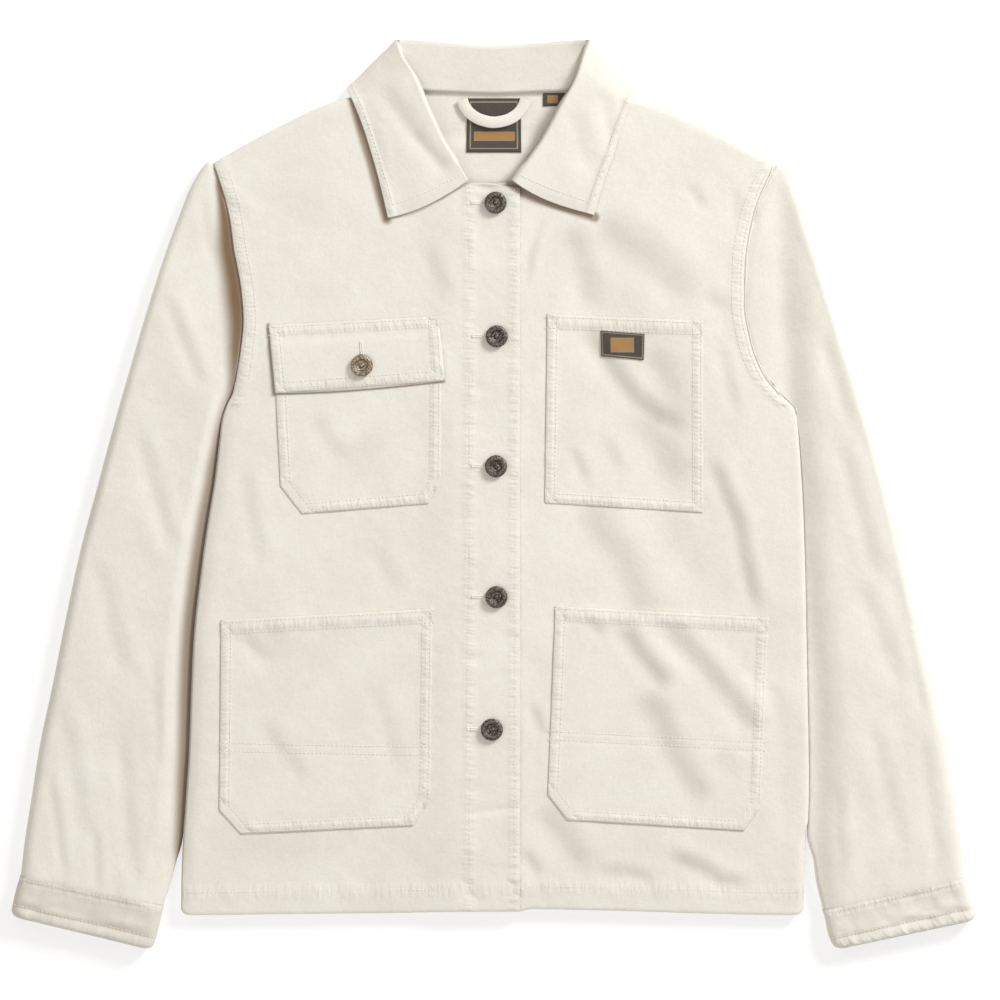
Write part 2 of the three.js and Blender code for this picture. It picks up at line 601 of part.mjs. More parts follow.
function buttonAt(x, y, z) {
  const steps = 24;
  const rings = BUTTON_PROFILE.slice(1, -1);
  const points = [0, 0, 0];
  for (const { r, z: up } of rings)
    for (let k = 0; k < steps; k++) {
      const a = (k / steps) * 2 * Math.PI;
      points.push(r * Math.cos(a), r * Math.sin(a), up);
    }
  const end = points.length / 3;
  points.push(0, 0, BUTTON_PROFILE[BUTTON_PROFILE.length - 1].z);
  const faces = [];
  const at = (j, k) => 1 + j * steps + (k % steps);
  for (let k = 0; k < steps; k++) {
    faces.push(0, at(0, k + 1), at(0, k));
    faces.push(end, at(rings.length - 1, k), at(rings.length - 1, k + 1));
    for (let j = 0; j < rings.length - 1; j++)
      faces.push(at(j, k), at(j, k + 1), at(j + 1, k + 1), at(j, k), at(j + 1, k + 1), at(j + 1, k));
  }
  const geometry = new THREE.BufferGeometry();
  geometry.setAttribute("position", new THREE.Float32BufferAttribute(points, 3));
  geometry.setIndex(faces);
  geometry.translate(x, y, z);
  geometry.computeVertexNormals();
  return geometry;
}

BUTTONS.forEach(({ x, y }, i) => {
  const z = Math.max(...[-9, 0, 9].map((d) => heightOn(rightFront, x + d, y))) + BUTTON_SEAT;
  addPiece(`front_button_${i + 1}`, buttonAt(x, y, z), DARK_METAL);
});
const flapTop = heightOn(rightFront, FLAP_BUTTON.x, FLAP_BUTTON.y) + flapLift + FLAP_PLY;
addPiece(
  "flap_button",
  buttonAt(FLAP_BUTTON.x, FLAP_BUTTON.y, flapTop + BUTTON_SEAT),
  PALE_METAL,
);

// Inside the back neck: the neck label, the small size tab and the hanging loop.
const NECK_LABEL = [[-22, 315.4], [-22.4, 272], [21.4, 272], [21, 315.4]];
const SIZE_TAB = [[38.8, 315.6], [38.8, 309], [58.6, 309.6], [58.6, 316]];
const LABEL_PLY = 0.8;
const backInside = insideOf(backOuter, hemPly, -1, false, belowSeam);
addPiece("neck_label", patchOn(backInside, 1, NECK_LABEL, PIECE_GAP, LABEL_PLY), LABEL_CLOTH);
addPiece("size_tab", patchOn(backInside, 1, SIZE_TAB, PIECE_GAP, LABEL_PLY), LABEL_CLOTH);
const LOOP_PLY = 1.5;
const LOOP_HALF_WIDTH = 4.2;
const LOOP_PATH = table("x y z", [
  [-26, 314, 5.4], [-23.5, 308, 5.4], [-18, 302, 5.5], [-10, 297.8, 6], [-0.5, 296, 6.2],
  [9, 297.6, 6], [17, 301.8, 5.5], [22.5, 308, 5.4], [25, 314, 5.4],
]);

function loopGrid() {
  return LOOP_PATH.map((p, j) => {
    const a = LOOP_PATH[Math.max(0, j - 1)];
    const b = LOOP_PATH[Math.min(LOOP_PATH.length - 1, j + 1)];
    const side = new THREE.Vector3(-(b.y - a.y), b.x - a.x, 0).setLength(LOOP_HALF_WIDTH);
    return [-1, 0, 1].map((t) => new THREE.Vector3(p.x, p.y, p.z).addScaledVector(side, t));
  });
}
addPiece("hanger_loop", wall(loopGrid(), () => LOOP_PLY, 1));

export default jacket;
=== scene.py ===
import math

import bpy
import numpy as np
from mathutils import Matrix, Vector, kdtree


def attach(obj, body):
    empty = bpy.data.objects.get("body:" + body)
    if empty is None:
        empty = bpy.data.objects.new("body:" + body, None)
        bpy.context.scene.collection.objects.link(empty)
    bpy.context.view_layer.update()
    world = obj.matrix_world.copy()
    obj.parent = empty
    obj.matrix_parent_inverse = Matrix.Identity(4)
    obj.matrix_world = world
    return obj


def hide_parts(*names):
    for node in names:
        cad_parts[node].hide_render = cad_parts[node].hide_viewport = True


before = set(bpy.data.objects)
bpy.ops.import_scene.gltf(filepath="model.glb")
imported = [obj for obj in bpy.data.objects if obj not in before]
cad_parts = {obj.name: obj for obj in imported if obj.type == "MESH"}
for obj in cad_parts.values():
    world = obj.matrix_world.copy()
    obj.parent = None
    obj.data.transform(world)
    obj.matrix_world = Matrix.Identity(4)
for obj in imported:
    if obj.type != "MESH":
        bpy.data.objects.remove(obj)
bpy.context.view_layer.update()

# Lengths in this script are millimetres until a mesh is made.
# Right and left are the wearer's: the wearer's right lies at negative X.
MM = 0.001

# Cloth thicknesses
CLOTH = 1.2
DOUBLED = 2.0
COLLAR_PLY = 2.2
SEAM_GAP = 0.4

# Heights above the table
LOFT = 11.5
HEM_LOFT = 10.2
HEM_ZONE = 60
SIDE_ROLL = 6
SIDE_SEAM_Z = 5.5
PLACKET_LIFT = 2.5
ARMHOLE_DROP = 1.0

# Body lengths
HEM_Y = -332
HEM_DEPTH = 18
UNDERARM_Y = 80
CENTRE_EDGE_RIGHT = 20.4
CENTRE_EDGE_LEFT = -18
# The two stitch rows of the buttonhole placket
PLACKET_INNER = -19.8
PLACKET_OUTER = 15.9
# The shoulder slopes, so its seam is nearer than a step straight down from it says.
SHOULDER_COSINE = 0.894

# Sewing thread
STITCH_PITCH = 3.2
STITCH_LENGTH = 2.5
STITCH_THICK = 0.62
THREAD_LIFT = 0.12
# How far the two stitch rows of a pocket or flap lie from its edge
EDGE_ROW = 1.8
INNER_ROW = 8.2


def table(columns, rows):
    """Rows of numbers as a dictionary of named columns."""
    return dict(zip(columns.split(), np.array(rows, float).T))


def smooth(t):
    """Eases from 0 to 1."""
    t = np.clip(t, 0, 1)
    return t * t * (3 - 2 * t)


def lerp(a, b, t):
    """From a to b as t goes from 0 to 1."""
    return a + (b - a) * t


def bell(t):
    """1 at 0, falling smoothly to 0 on both sides."""
    return np.exp(-(np.asarray(t, float) ** 2))


def roll(t):
    """A quarter circle from 0 to 1."""
    return np.sqrt(1 - (1 - np.clip(t, 0, 1)) ** 2)


class Curve:
    """A smooth curve through given points that never overshoots between them."""

    def __init__(self, at, to):
        at, to = np.asarray(at, float), np.asarray(to, float)
        if at[-1] < at[0]:
            at, to = at[::-1], to[::-1]
        steps = np.diff(to) / np.diff(at)
        before, after = steps[:-1], steps[1:]
        same = before * after > 0
        total = np.where(same, before + after, 1.0)
        middle = np.where(same, 2 * before * after / total, 0.0)
        self.at, self.to = at, to
        self.slopes = np.concatenate([steps[:1], middle, steps[-1:]])

    def __call__(self, value):
        value = np.clip(value, self.at[0], self.at[-1])
        i = np.clip(np.searchsorted(self.at, value, side="right") - 1, 0, len(self.at) - 2)
        h = self.at[i + 1] - self.at[i]
        t = (value - self.at[i]) / h
        return (
            (2 * t**3 - 3 * t**2 + 1) * self.to[i]
            + (t**3 - 2 * t**2 + t) * h * self.slopes[i]
            + (-2 * t**3 + 3 * t**2) * self.to[i + 1]
            + (t**3 - t**2) * h * self.slopes[i + 1]
        )


def waves(x, y, across, along, seed):
    """Soft random hills between -1 and 1, about `across` by `along` millimetres."""
    hills = np.random.default_rng(seed).uniform(-1, 1, (61, 61))
    u, v = np.asarray(x, float) / across + 500.5, np.asarray(y, float) / along + 500.5
    i, j = np.floor(u).astype(int), np.floor(v).astype(int)
    f, g = smooth(u - i), smooth(v - j)
    i, j, ii, jj = i % 61, j % 61, (i + 1) % 61, (j + 1) % 61
    low = lerp(hills[i, j], hills[ii, j], f)
    high = lerp(hills[i, jj], hills[ii, jj], f)
    return lerp(low, high, g)


# Body edges, hem to shoulder: the side seam, then the armhole from the underarm up.
EDGE_RIGHT = table("y x", [
    [-332, -250.5], [-302, -250], [-246, -246.4], [-206, -243.8], [-166, -242.4], [-118, -240.2],
    [-54, -233.2], [-18, -228], [10, -223.4], [42, -219.6], [58, -217.6], [70, -213.8], [82, -208],
    [98, -205], [114, -202.8], [138, -200.6], [162, -202.4], [178, -205], [194, -208.2],
    [214, -210.8], [230, -214], [250, -220], [263.5, -224.5],
])
EDGE_LEFT = table("y x", [
    [-332, 247], [-280, 248.5], [-233, 250], [-139, 248.5], [-22, 246], [34, 243],
    [64, 240], [80, 226], [96, 214], [121, 204.5], [151, 199.6], [183, 200.4], [222, 206.8],
    [263, 223.5],
])
edge_right = Curve(EDGE_RIGHT["y"], EDGE_RIGHT["x"])
edge_left = Curve(EDGE_LEFT["y"], EDGE_LEFT["x"])

# The body's bottom edge, with rounded corners; it dips towards both side seams.
HEM_LINE = table("x y", [
    [-250.5, -332], [-248, -335.6], [-243, -337], [-156, -336], [-76, -335.2], [-30, -334.2],
    [21, -334], [28, -332.2], [100, -333.6], [165, -335.6], [236, -337], [243, -336.4],
    [247, -332.5],
])
hem_line = Curve(HEM_LINE["x"], HEM_LINE["y"])

# Shoulder seam then neckline of each panel.
TOP_RIGHT = table("x y", [
    [-224.5, 263.5], [-213, 270.5], [-180, 288.5], [-131, 311.5], [-112, 317], [-87, 325],
    [-83, 320], [-75, 308], [-60.4, 284], [-45, 260], [-27, 248], [-3, 246], [20.4, 243.5],
])
TOP_LEFT = table("x y", [
    [223.5, 263], [212, 270.5], [178, 288.5], [127.6, 311.5], [109, 317], [85, 325],
    [81, 320], [73, 308], [57, 284], [42, 261], [24, 250], [3, 247], [-18, 245],
])
TOP_BACK = table("x y", [
    [-224.5, 263.5], [-213, 270.5], [-180, 288.5], [-131, 311.5], [-112, 317], [-87, 325],
    [-76, 323.6], [-60, 321.8], [-30, 320.7], [0, 320.2], [30, 320.7], [60, 321.8],
    [75, 323.6], [85, 325], [109, 317], [127.6, 311.5], [178, 288.5], [212, 270.5], [223.5, 263],
])

# Small creases on sleeves and collar: a trough (rise below 0) or ridge from x0, y0 to x1, y1,
# with a lit shoulder on its upper-right side, `shoulder` of its depth.
FOLD_COLUMNS = "x0 y0 x1 y1 width rise shoulder"
# How many widths from a crease's middle its lit shoulder lies
SHOULDER_AT = 1.9


def folded(folds, x, y):
    """How far the folds raise or lower each point."""
    z = np.zeros_like(np.asarray(x, float) + y)
    for x0, y0, x1, y1, width, rise, shoulder in zip(*(folds[c] for c in FOLD_COLUMNS.split())):
        dx, dy = x1 - x0, y1 - y0
        length = math.hypot(dx, dy)
        t = ((x - x0) * dx + (y - y0) * dy) / length**2
        off = -((x - x0) * dy - (y - y0) * dx) / length
        share = smooth(t * 4 + 0.6) * smooth((1 - t) * 4 + 0.6)
        z += rise * share * (bell(off / width) - shoulder * bell(off / width - SHOULDER_AT))
    return z


def trough(width, depth, shoulder, shade, *path):
    return {"width": width, "depth": depth, "shoulder": shoulder, "shade": shade, "path": path}


# Troughs on the fronts, traced from the photo: width, depth, lit shoulder on the upper right as
# a share of the depth, warm shade, then the path from its upper end.
TROUGHS = [
    # One broad sag runs right across the wearer's left front, with the sharper ones inside it.
    trough(20, 1.7, 0.0, 0.05, (60, 214), (110, 100), (150, 0), (186, -80), (214, -160)),
    trough(7, 1.5, 0.5, 0.09, (52, 216), (63, 192), (70, 162), (71, 140)),
    trough(10, 2.0, 0.4, 0.10, (70, 214), (92, 200), (116, 184), (138, 165), (139, 144)),
    trough(5, 0.8, 0.5, 0.04, (162, 162), (188, 139)),
    trough(2.6, 0.7, 0.7, 0.05, (39, 220), (28, 194), (23, 162)),
    trough(5.5, 2.0, 0.4, 0.17, (68, 133), (87, 104), (100, 85), (111, 72), (132, 58), (157, 46)),
    trough(8, 1.5, 0.2, 0.10, (118, 118), (132, 93), (140, 72), (153, 52)),
    trough(9, 1.8, 0.3, 0.13, (106, 66), (127, 34), (135, 16), (156, 6)),
    trough(3.6, 0.9, 0.6, 0.06, (56, 42), (68, 16), (71, 0)),
    trough(4, 0.7, 0.6, 0.04, (80, 50), (92, 29), (101, 8)),
    trough(9, 1.9, 0.4, 0.11, (68, -8), (79, -35), (95, -54), (111, -91), (118, -108)),
    trough(4.5, 1.7, 0.5, 0.12, (170, 30), (180, 2), (191, -24), (196, -51), (202, -75), (207, -98)),
    trough(8, 0.9, 0.5, 0.04, (124, -10), (148, -46), (166, -78)),
    trough(5.5, 2.1, 0.5, 0.17, (95, -102), (111, -128), (127, -147), (140, -163)),
    trough(3.6, 1.0, 0.5, 0.08, (70, -100), (88, -117)),
    trough(7.5, 1.9, 0.4, 0.15, (110, -158), (127, -182), (138, -208), (154, -235), (168, -254)),
    trough(6.5, 1.9, 0.8, 0.09, (129, -102), (146, -123), (164, -142), (186, -168), (209, -200)),
    trough(7, 0.8, 0.5, 0.04, (168, -208), (193, -234)),
    trough(3.4, 1.1, 0.5, 0.08, (26, -166), (39, -198)),
    trough(7, 1.7, 0.4, 0.12, (28, -250), (52, -278), (73, -308)),
    trough(4, 1.0, 0.5, 0.07, (76, -303), (106, -305.6), (132, -311)),
    trough(4.6, 1.6, 0.5, 0.12, (132, -290), (164, -301.6), (180, -312), (207, -317)),
    trough(4, 1.2, 0.5, 0.08, (18, -284), (38, -309)),
    trough(6, 0.7, 0.5, 0.04, (217, -146), (231, -198), (231, -276)),
    trough(4, 0.8, 0.6, 0.03, (176, 124), (192, 56)),
    trough(3.5, 0.7, 0.6, 0.03, (150, 250), (169, 222)),
    trough(3.5, 0.6, 0.6, 0.03, (189, 252), (192, 210)),
    # The wearer's right front is calmer.
    trough(10, 1.2, 0.3, 0.04, (-196, -104), (-170, -144)),
    trough(12, 1.0, 0.2, 0.02, (-244, -288), (-150, -291), (-56, -282)),
    trough(14, 1.2, 0.2, 0.02, (-192, 252), (-148, 202)),
    trough(19, 1.0, 0.0, 0.02, (-122, 46), (-94, -66)),
    trough(4, 0.9, 0.7, 0.04, (-209, -112), (-178, -140)),
    trough(4, 0.8, 0.6, 0.03, (-223, 242), (-195, 210)),
    trough(5, 0.8, 0.6, 0.03, (-152, 64), (-119, 18)),
    trough(5, 0.8, 0.6, 0.03, (-101, -38), (-79, -86)),
    trough(5, 0.7, 0.6, 0.03, (-192, -178), (-149, -238)),
    trough(5, 0.7, 0.6, 0.03, (-101, -148), (-75, -232)),
    trough(5, 0.7, 0.6, 0.02, (-61, 202), (-39, 148)),
    trough(5, 0.9, 0.6, 0.03, (-205, 24), (-189, -64)),
    # Crinkles where the neckline is pulled towards the top button.
    trough(1.5, 0.8, 0.6, 0.12, (-24, 246), (-9, 243), (5, 242)),
    trough(1.4, 0.6, 0.6, 0.08, (-17, 247), (-2, 244), (9, 243)),
    trough(1.6, 0.5, 0.6, 0.05, (-22, 238), (-10, 234), (-4, 226)),
]
# Over what length a trough fades out at each end, and how much wider it is than traced
TROUGH_FADE = 20
TROUGH_SPREAD = 1.4
# How much wider again its warm shade is, how many widths it lies to the upper right, its share
SHADE_SPREAD = 1.3
SHADE_ASIDE = 0.2
TROUGH_SHADE = 0.85


def near_path(x, y, points):
    """Each point's distance to a path of straight lines, how far along it that is, on which
    side of the path the point lies, and the path's length."""
    points = np.asarray(points, float)
    best = np.full(np.shape(x), 1e9)
    run = np.zeros(np.shape(x))
    side = np.zeros(np.shape(x))
    done = 0.0
    for (ax, ay), (bx, by) in zip(points[:-1], points[1:]):
        dx, dy = bx - ax, by - ay
        length = math.hypot(dx, dy)
        t = np.clip(((x - ax) * dx + (y - ay) * dy) / length**2, 0, 1)
        away = np.hypot(x - ax - t * dx, y - ay - t * dy)
        nearer = away < best
        run = np.where(nearer, done + t * length, run)
        side = np.where(nearer, np.sign((y - ay) * dx - (x - ax) * dy), side)
        best = np.minimum(best, away)
        done += length
    return best, run, side, done


def to_line(x, y, points):
    """Distance from each point to a path, and how far along it that is."""
    return near_path(x, y, points)[:2]


def trough_share(one, x, y):
    """How much of a trough's depth each point gets, and how far to its upper right it lies."""
    away, run, side, length = near_path(x, y, one["path"])
    fade = min(TROUGH_FADE, 0.4 * length)
    return smooth(run / fade) * smooth((length - run) / fade), away * side


def sunk(x, y):
    """How far the troughs lower the fronts."""
    z = np.zeros(np.shape(x))
    for one in TROUGHS:
        share, off = trough_share(one, x, y)
        at = off / one["width"] / TROUGH_SPREAD
        z -= one["depth"] * share * (bell(at) - one["shoulder"] * bell(at - SHOULDER_AT))
    return z


def trough_shade(x, y):
    """The warm shade that lies in the troughs."""
    dark = np.zeros(np.shape(x))
    for one in TROUGHS:
        share, off = trough_share(one, x, y)
        at = off / one["width"] / SHADE_SPREAD / TROUGH_SPREAD
        dark += one["shade"] * share * bell(at - SHADE_ASIDE)
    return TROUGH_SHADE * dark


# Pocket, flap and label outlines: the two side paths of each, from the bottom up.
POCKETS = {
    "chest_pocket_right": (
        [[-153.4, -17], [-171, 5.4], [-176.5, 112]],
        [[-53, -8.7], [-43, 7.7], [-42.2, 121]],
    ),
    "chest_pocket_left": (
        [[40.5, -8.2], [39.9, -6], [41.9, 142.6]],
        [[166, -15.8], [166.8, -13.6], [166.3, 137.4]],
    ),
    "lower_pocket_right": (
        [[-202.4, -272.6], [-219.9, -252.7], [-218.3, -101.5]],
        [[-65.2, -266], [-51.2, -244.8], [-49.2, -92.2]],
    ),
    "lower_pocket_left": (
        [[58.2, -261.4], [42.3, -240.8], [48.3, -90.2]],
        [[198.8, -270], [212.8, -250.1], [218.8, -99.5]],
    ),
}
CHEST_FLAP = (
    [[-175, 79.3], [-175.2, 81.5], [-180.4, 133.8]],
    [[-40.4, 89.3], [-39.7, 91.3], [-44.4, 140.9]],
)
PATCH_LABEL = (
    [[85.3, 109.2], [84.9, 119], [84.5, 129.5]],
    [[119, 106.1], [119.3, 116], [119.7, 126.8]],
)


def u_path(piece):
    """Down a pocket's first side, along its bottom and up its other side."""
    first, second = piece
    return first[::-1] + second


def puckers(x, y, path, reach, height, pitch, seed):
    """The small ripples that a line of stitching draws up beside it."""
    away, run = to_line(x, y, path)
    return height * bell(away / reach) * waves(run, away, pitch, reach * 1.6, seed)


CREASE_ACROSS_PLACKET_Y = -253


def front_top(x, y):
    """Top of either front before its edges roll down, with its folds and ripples."""
    x, y = np.broadcast_arrays(np.asarray(x, float), np.asarray(y, float))
    hem = smooth((HEM_ZONE - (y - HEM_Y)) / HEM_ZONE)
    z = lerp(LOFT, HEM_LOFT, hem) + sunk(x, y)
    # Wide soft hills, smaller crumples, then the finest unevenness
    z += 0.42 * waves(x, y, 42, 55, 3) + 0.16 * waves(x + 0.5 * y, y, 17, 26, 4)
    z += 0.05 * waves(x, y, 5, 7, 5)
    # The hem: ripples drawn up by its stitches, their sunk line, the fuller cloth below it
    stitch_y = hem_line(x) + HEM_DEPTH
    z += 0.42 * bell((y - stitch_y) / 13) * waves(x + 0.35 * y, y, 8, 30, 6)
    z -= 0.4 * bell((y - stitch_y) / 1.5)
    z += 0.3 * bell((y - stitch_y + 8) / 7)
    for seed, piece in enumerate(POCKETS.values()):
        z += puckers(x, y, u_path(piece), 7, 0.3, 8, 20 + seed)
    return z


def placket_shape(x, y):
    """What the doubled centre edge adds to the wearer's right front."""
    inside = smooth((x - PLACKET_INNER + 4) / 6)
    z = PLACKET_LIFT * smooth((x + 64) / 36)
    z += inside * 0.34 * waves(x, y, 34, 8, 31) * (1 - 0.5 * bell(x / 12))
    z -= 0.5 * bell((x - PLACKET_INNER) / 1.2)
    z += 0.3 * bell((x - PLACKET_INNER) / 9) * waves(x, y, 12, 8, 32)
    z -= 0.35 * bell((x - CENTRE_EDGE_RIGHT + 4.5) / 1.1)
    z -= inside * 0.9 * bell((y - CREASE_ACROSS_PLACKET_Y - 0.1 * x) / 3)
    return z


def right_top(x, y):
    """Top of the wearer's right front."""
    return front_top(x, y) + placket_shape(x, y)


def left_top(x, y):
    """Top of the wearer's left front, which dips under the right one."""
    return front_top(x, y) - 0.8 * smooth((24 - x) / 10)


def normals(grid, wraps):
    """Unit normals of a grid of points; columns join up where it is a tube."""
    if wraps:
        across = np.roll(grid, -1, axis=1) - np.roll(grid, 1, axis=1)
    else:
        across = np.gradient(grid, axis=1)
    up = np.gradient(grid, axis=0)
    n = np.cross(across, up)
    return n / np.maximum(np.linalg.norm(n, axis=2, keepdims=True), 1e-9)


def offset(grid, distance, wraps=False):
    """The grid moved along its own normals."""
    return grid + normals(grid, wraps) * np.asarray(distance)[..., None]


def run_lengths(grid):
    """Real lengths along rows and columns, as the cloth's own flat coordinates."""
    u = np.zeros(grid.shape[:2])
    v = np.zeros(grid.shape[:2])
    u[:, 1:] = np.cumsum(np.linalg.norm(np.diff(grid, axis=1), axis=2), axis=1)
    v[1:] = np.cumsum(np.linalg.norm(np.diff(grid, axis=0), axis=2), axis=0)
    return u - u.mean(axis=1, keepdims=True), v


def shell_faces(rows, columns, wraps):
    """Faces of a closed wall whose outer grid's points come before its inner grid's."""
    at = np.arange(rows * columns).reshape(rows, columns)
    if wraps:
        at = np.hstack([at, at[:, :1]])
    far = rows * columns
    a, b, c, d = at[:-1, :-1], at[:-1, 1:], at[1:, 1:], at[1:, :-1]
    outer = np.stack([a, b, c, d], axis=-1).reshape(-1, 4)
    inner = outer[:, ::-1] + far
    start = np.stack([at[0, 1:], at[0, :-1], at[0, :-1] + far, at[0, 1:] + far], axis=-1)
    end = np.stack([at[-1, :-1], at[-1, 1:], at[-1, 1:] + far, at[-1, :-1] + far], axis=-1)
    faces = [outer, inner, start, end]
    if not wraps:
        low, high = at[:-1, 0], at[1:, 0]
        faces.append(np.stack([low, high, high + far, low + far], axis=-1))
        low, high = at[:-1, -1], at[1:, -1]
        faces.append(np.stack([high, low, low + far, high + far], axis=-1))
    return np.vstack(faces)


def volume(points, faces):
    """Six times the volume that the faces close in; below 0 when they face inwards."""
    a, b, c, d = (points[faces[:, k]] for k in range(4))
    one = np.einsum("ij,ij->i", a, np.cross(b, c)).sum()
    return one + np.einsum("ij,ij->i", a, np.cross(c, d)).sum()


def make_mesh(name, points, faces, material, uv=None, paint=None):
    """A linked object made of points in millimetres, with its cloth coordinates and paint."""
    mesh = bpy.data.meshes.new(name)
    mesh.from_pydata((np.asarray(points) * MM).tolist(), [], np.asarray(faces).tolist())
    mesh.materials.append(material)
    if uv is not None:
        corners = np.empty(len(mesh.loops), int)
        mesh.loops.foreach_get("vertex_index", corners)
        layer = mesh.uv_layers.new(name="cut")
        layer.data.foreach_set("uv", (np.asarray(uv)[corners] * MM).ravel())
    for key, values in (paint or {}).items():
        layer = mesh.attributes.new(key, "FLOAT", "POINT")
        layer.data.foreach_set("value", np.asarray(values, float))
    mesh.shade_smooth()
    piece = bpy.data.objects.new(name, mesh)
    bpy.context.collection.objects.link(piece)
    return piece


def shell(name, outer, inner, material, wraps=False, paint=None):
    """A closed cloth wall between two grids of points."""
    rows, columns = outer.shape[:2]
    points = np.concatenate([outer.reshape(-1, 3), inner.reshape(-1, 3)])
    faces = shell_faces(rows, columns, wraps)
    if volume(points, faces) < 0:
        faces = faces[:, ::-1]
    u, v = run_lengths(outer)
    uv = np.tile(np.stack([u.ravel(), v.ravel()], axis=-1), (2, 1))
    both = {key: np.tile(values.ravel(), 2) for key, values in (paint or {}).items()}
    return make_mesh(name, points, faces, material, uv, both)


class Socket:
    """A shader value that can be added, scaled and compared like a number."""

    def __init__(self, tree, out):
        self.tree = tree
        self.out = out

    def math(self, operation, *others):
        node = self.tree.nodes.new("ShaderNodeMath")
        node.operation = operation
        for i, value in enumerate((self, *others)):
            if isinstance(value, Socket):
                self.tree.links.new(value.out, node.inputs[i])
            else:
                node.inputs[i].default_value = value
        return Socket(self.tree, node.outputs[0])

    def __add__(self, other):
        return self.math("ADD", other)

    def __mul__(self, other):
        return self.math("MULTIPLY", other)

    def __rsub__(self, other):
        return (self * -1.0) + other

    def sine(self):
        return self.math("SINE")

    def most(self, other):
        return self.math("MAXIMUM", other)

    def least(self, other):
        return self.math("MINIMUM", other)

    def ramp(self, low, high):
        """0 below `low`, 1 above `high`, soft between."""
        node = self.tree.nodes.new("ShaderNodeMapRange")
        node.interpolation_type = "SMOOTHSTEP"
        self.tree.links.new(self.out, node.inputs["Value"])
        node.inputs["From Min"].default_value = low
        node.inputs["From Max"].default_value = high
        return Socket(self.tree, node.outputs["Result"])


class Finish:
    """A material being put together."""

    def __init__(self, name, roughness=0.9, metallic=0.0):
        self.material = bpy.data.materials.new(name)
        self.material.use_nodes = True
        self.tree = self.material.node_tree
        self.base = self.tree.nodes["Principled BSDF"]
        self.base.inputs["Roughness"].default_value = roughness
        self.base.inputs["Metallic"].default_value = metallic

    def node(self, kind, output=0, inputs=None, **settings):
        made = self.tree.nodes.new(kind)
        for key, value in settings.items():
            setattr(made, key, value)
        for key, value in (inputs or {}).items():
            if isinstance(value, Socket):
                self.tree.links.new(value.out, made.inputs[key])
            else:
                made.inputs[key].default_value = value
        return Socket(self.tree, made.outputs[output])

    def uv_axes(self):
        uv = self.node("ShaderNodeUVMap", uv_map="cut")
        split = self.tree.nodes.new("ShaderNodeSeparateXYZ")
        self.tree.links.new(uv.out, split.inputs[0])
        return Socket(self.tree, split.outputs[0]), Socket(self.tree, split.outputs[1])

    def place(self):
        return self.node("ShaderNodeTexCoord", output="Object")

    def vector(self, operation, first, second, output="Vector"):
        wanted = {0: first, 1: second}
        return self.node("ShaderNodeVectorMath", output=output, inputs=wanted, operation=operation)

    def from_line(self, plan, a, b):
        """Distance from a straight line between two places in plan, in metres."""
        step = ((b[0] - a[0]) * MM, (b[1] - a[1]) * MM, 0.0)
        from_a = self.vector("SUBTRACT", plan, (a[0] * MM, a[1] * MM, 0.0))
        run = self.vector("DOT_PRODUCT", from_a, step, output="Value")
        run = (run * (1 / (step[0] ** 2 + step[1] ** 2))).most(0.0).least(1.0)
        return self.vector("DISTANCE", from_a, self.vector("MULTIPLY", run, step), output="Value")

    def noise(self, vector, scale, detail=3.0, roughness=0.5):
        wanted = {"Vector": vector, "Scale": scale, "Detail": detail, "Roughness": roughness}
        return self.node("ShaderNodeTexNoise", inputs=wanted)

    def stretched(self, vector, x, y):
        wanted = {"Vector": vector, "Scale": (x, y, 1.0)}
        return self.node("ShaderNodeMapping", inputs=wanted)

    def mix(self, share, first, second):
        made = self.tree.nodes.new("ShaderNodeMix")
        made.data_type = "RGBA"
        for key, value in ((0, share), (6, first), (7, second)):
            if isinstance(value, Socket):
                self.tree.links.new(value.out, made.inputs[key])
            else:
                made.inputs[key].default_value = (*value, 1.0) if key else value
        return Socket(self.tree, made.outputs[2])

    def set(self, name, value):
        if isinstance(value, Socket):
            self.tree.links.new(value.out, self.base.inputs[name])
        else:
            self.base.inputs[name].default_value = value

    def bump(self, height, distance, strength):
        wanted = {"Height": height, "Distance": distance, "Strength": strength}
        self.set("Normal", self.node("ShaderNodeBump", inputs=wanted))


CANVAS_LIGHT = (0.836, 0.818, 0.754)
CANVAS_DARK = (0.780, 0.753, 0.677)
# The warm dark brown that painted shade mixes towards in troughs, valleys and under edges.
CANVAS_PAINTED_SHADE = (0.195, 0.117, 0.061)
THREAD_COLOUR = (0.80, 0.765, 0.675)
LABEL_DARK = (0.052, 0.044, 0.037)
LABEL_DARK_YARN = (0.085, 0.072, 0.06)
LABEL_EDGE = (0.30, 0.25, 0.18)
LABEL_OCHRE = (0.36, 0.20, 0.07)
YARN_PITCH = 0.62
TAU = 2 * math.pi

# Tight warm shadows painted under edges that face away from the light: how far each stays dark,
# how far it then fades, how dark it is, then its path in plan.
CONTACTS = [
    (1.5, 6.4, 0.78, [(-114, 318), (-106.4, 290.4), (-98.2, 264), (-91, 236.8), (-86, 218.6)]),
    (1.7, 5.8, 0.74, [(13, 247.5), (20, 242), (36.4, 234.8), (56.4, 227.6), (80, 220)]),
    (0.4, 3.0, 0.40, [(-84, 219), (-43.6, 235.2), (-20, 248.5)]),
    (0.5, 2.6, 0.58, [(-180.6, 134), (-175.4, 79)]),
    (0.4, 2.0, 0.55, [(-175.2, 78.8), (-131.6, 80.2), (-92, 83.4), (-40.4, 88.8)]),
]


def contact_shade(finish):
    """How dark the contact shadows are at each place."""
    plan = finish.vector("MULTIPLY", finish.place(), (1.0, 1.0, 0.0))
    dark = None
    for full, reach, darkness, path in CONTACTS:
        for a, b in zip(path[:-1], path[1:]):
            away = finish.from_line(plan, a, b)
            one = (1.0 - away.ramp(full * MM, reach * MM)) * darkness
            dark = one if dark is None else dark.most(one)
    return dark


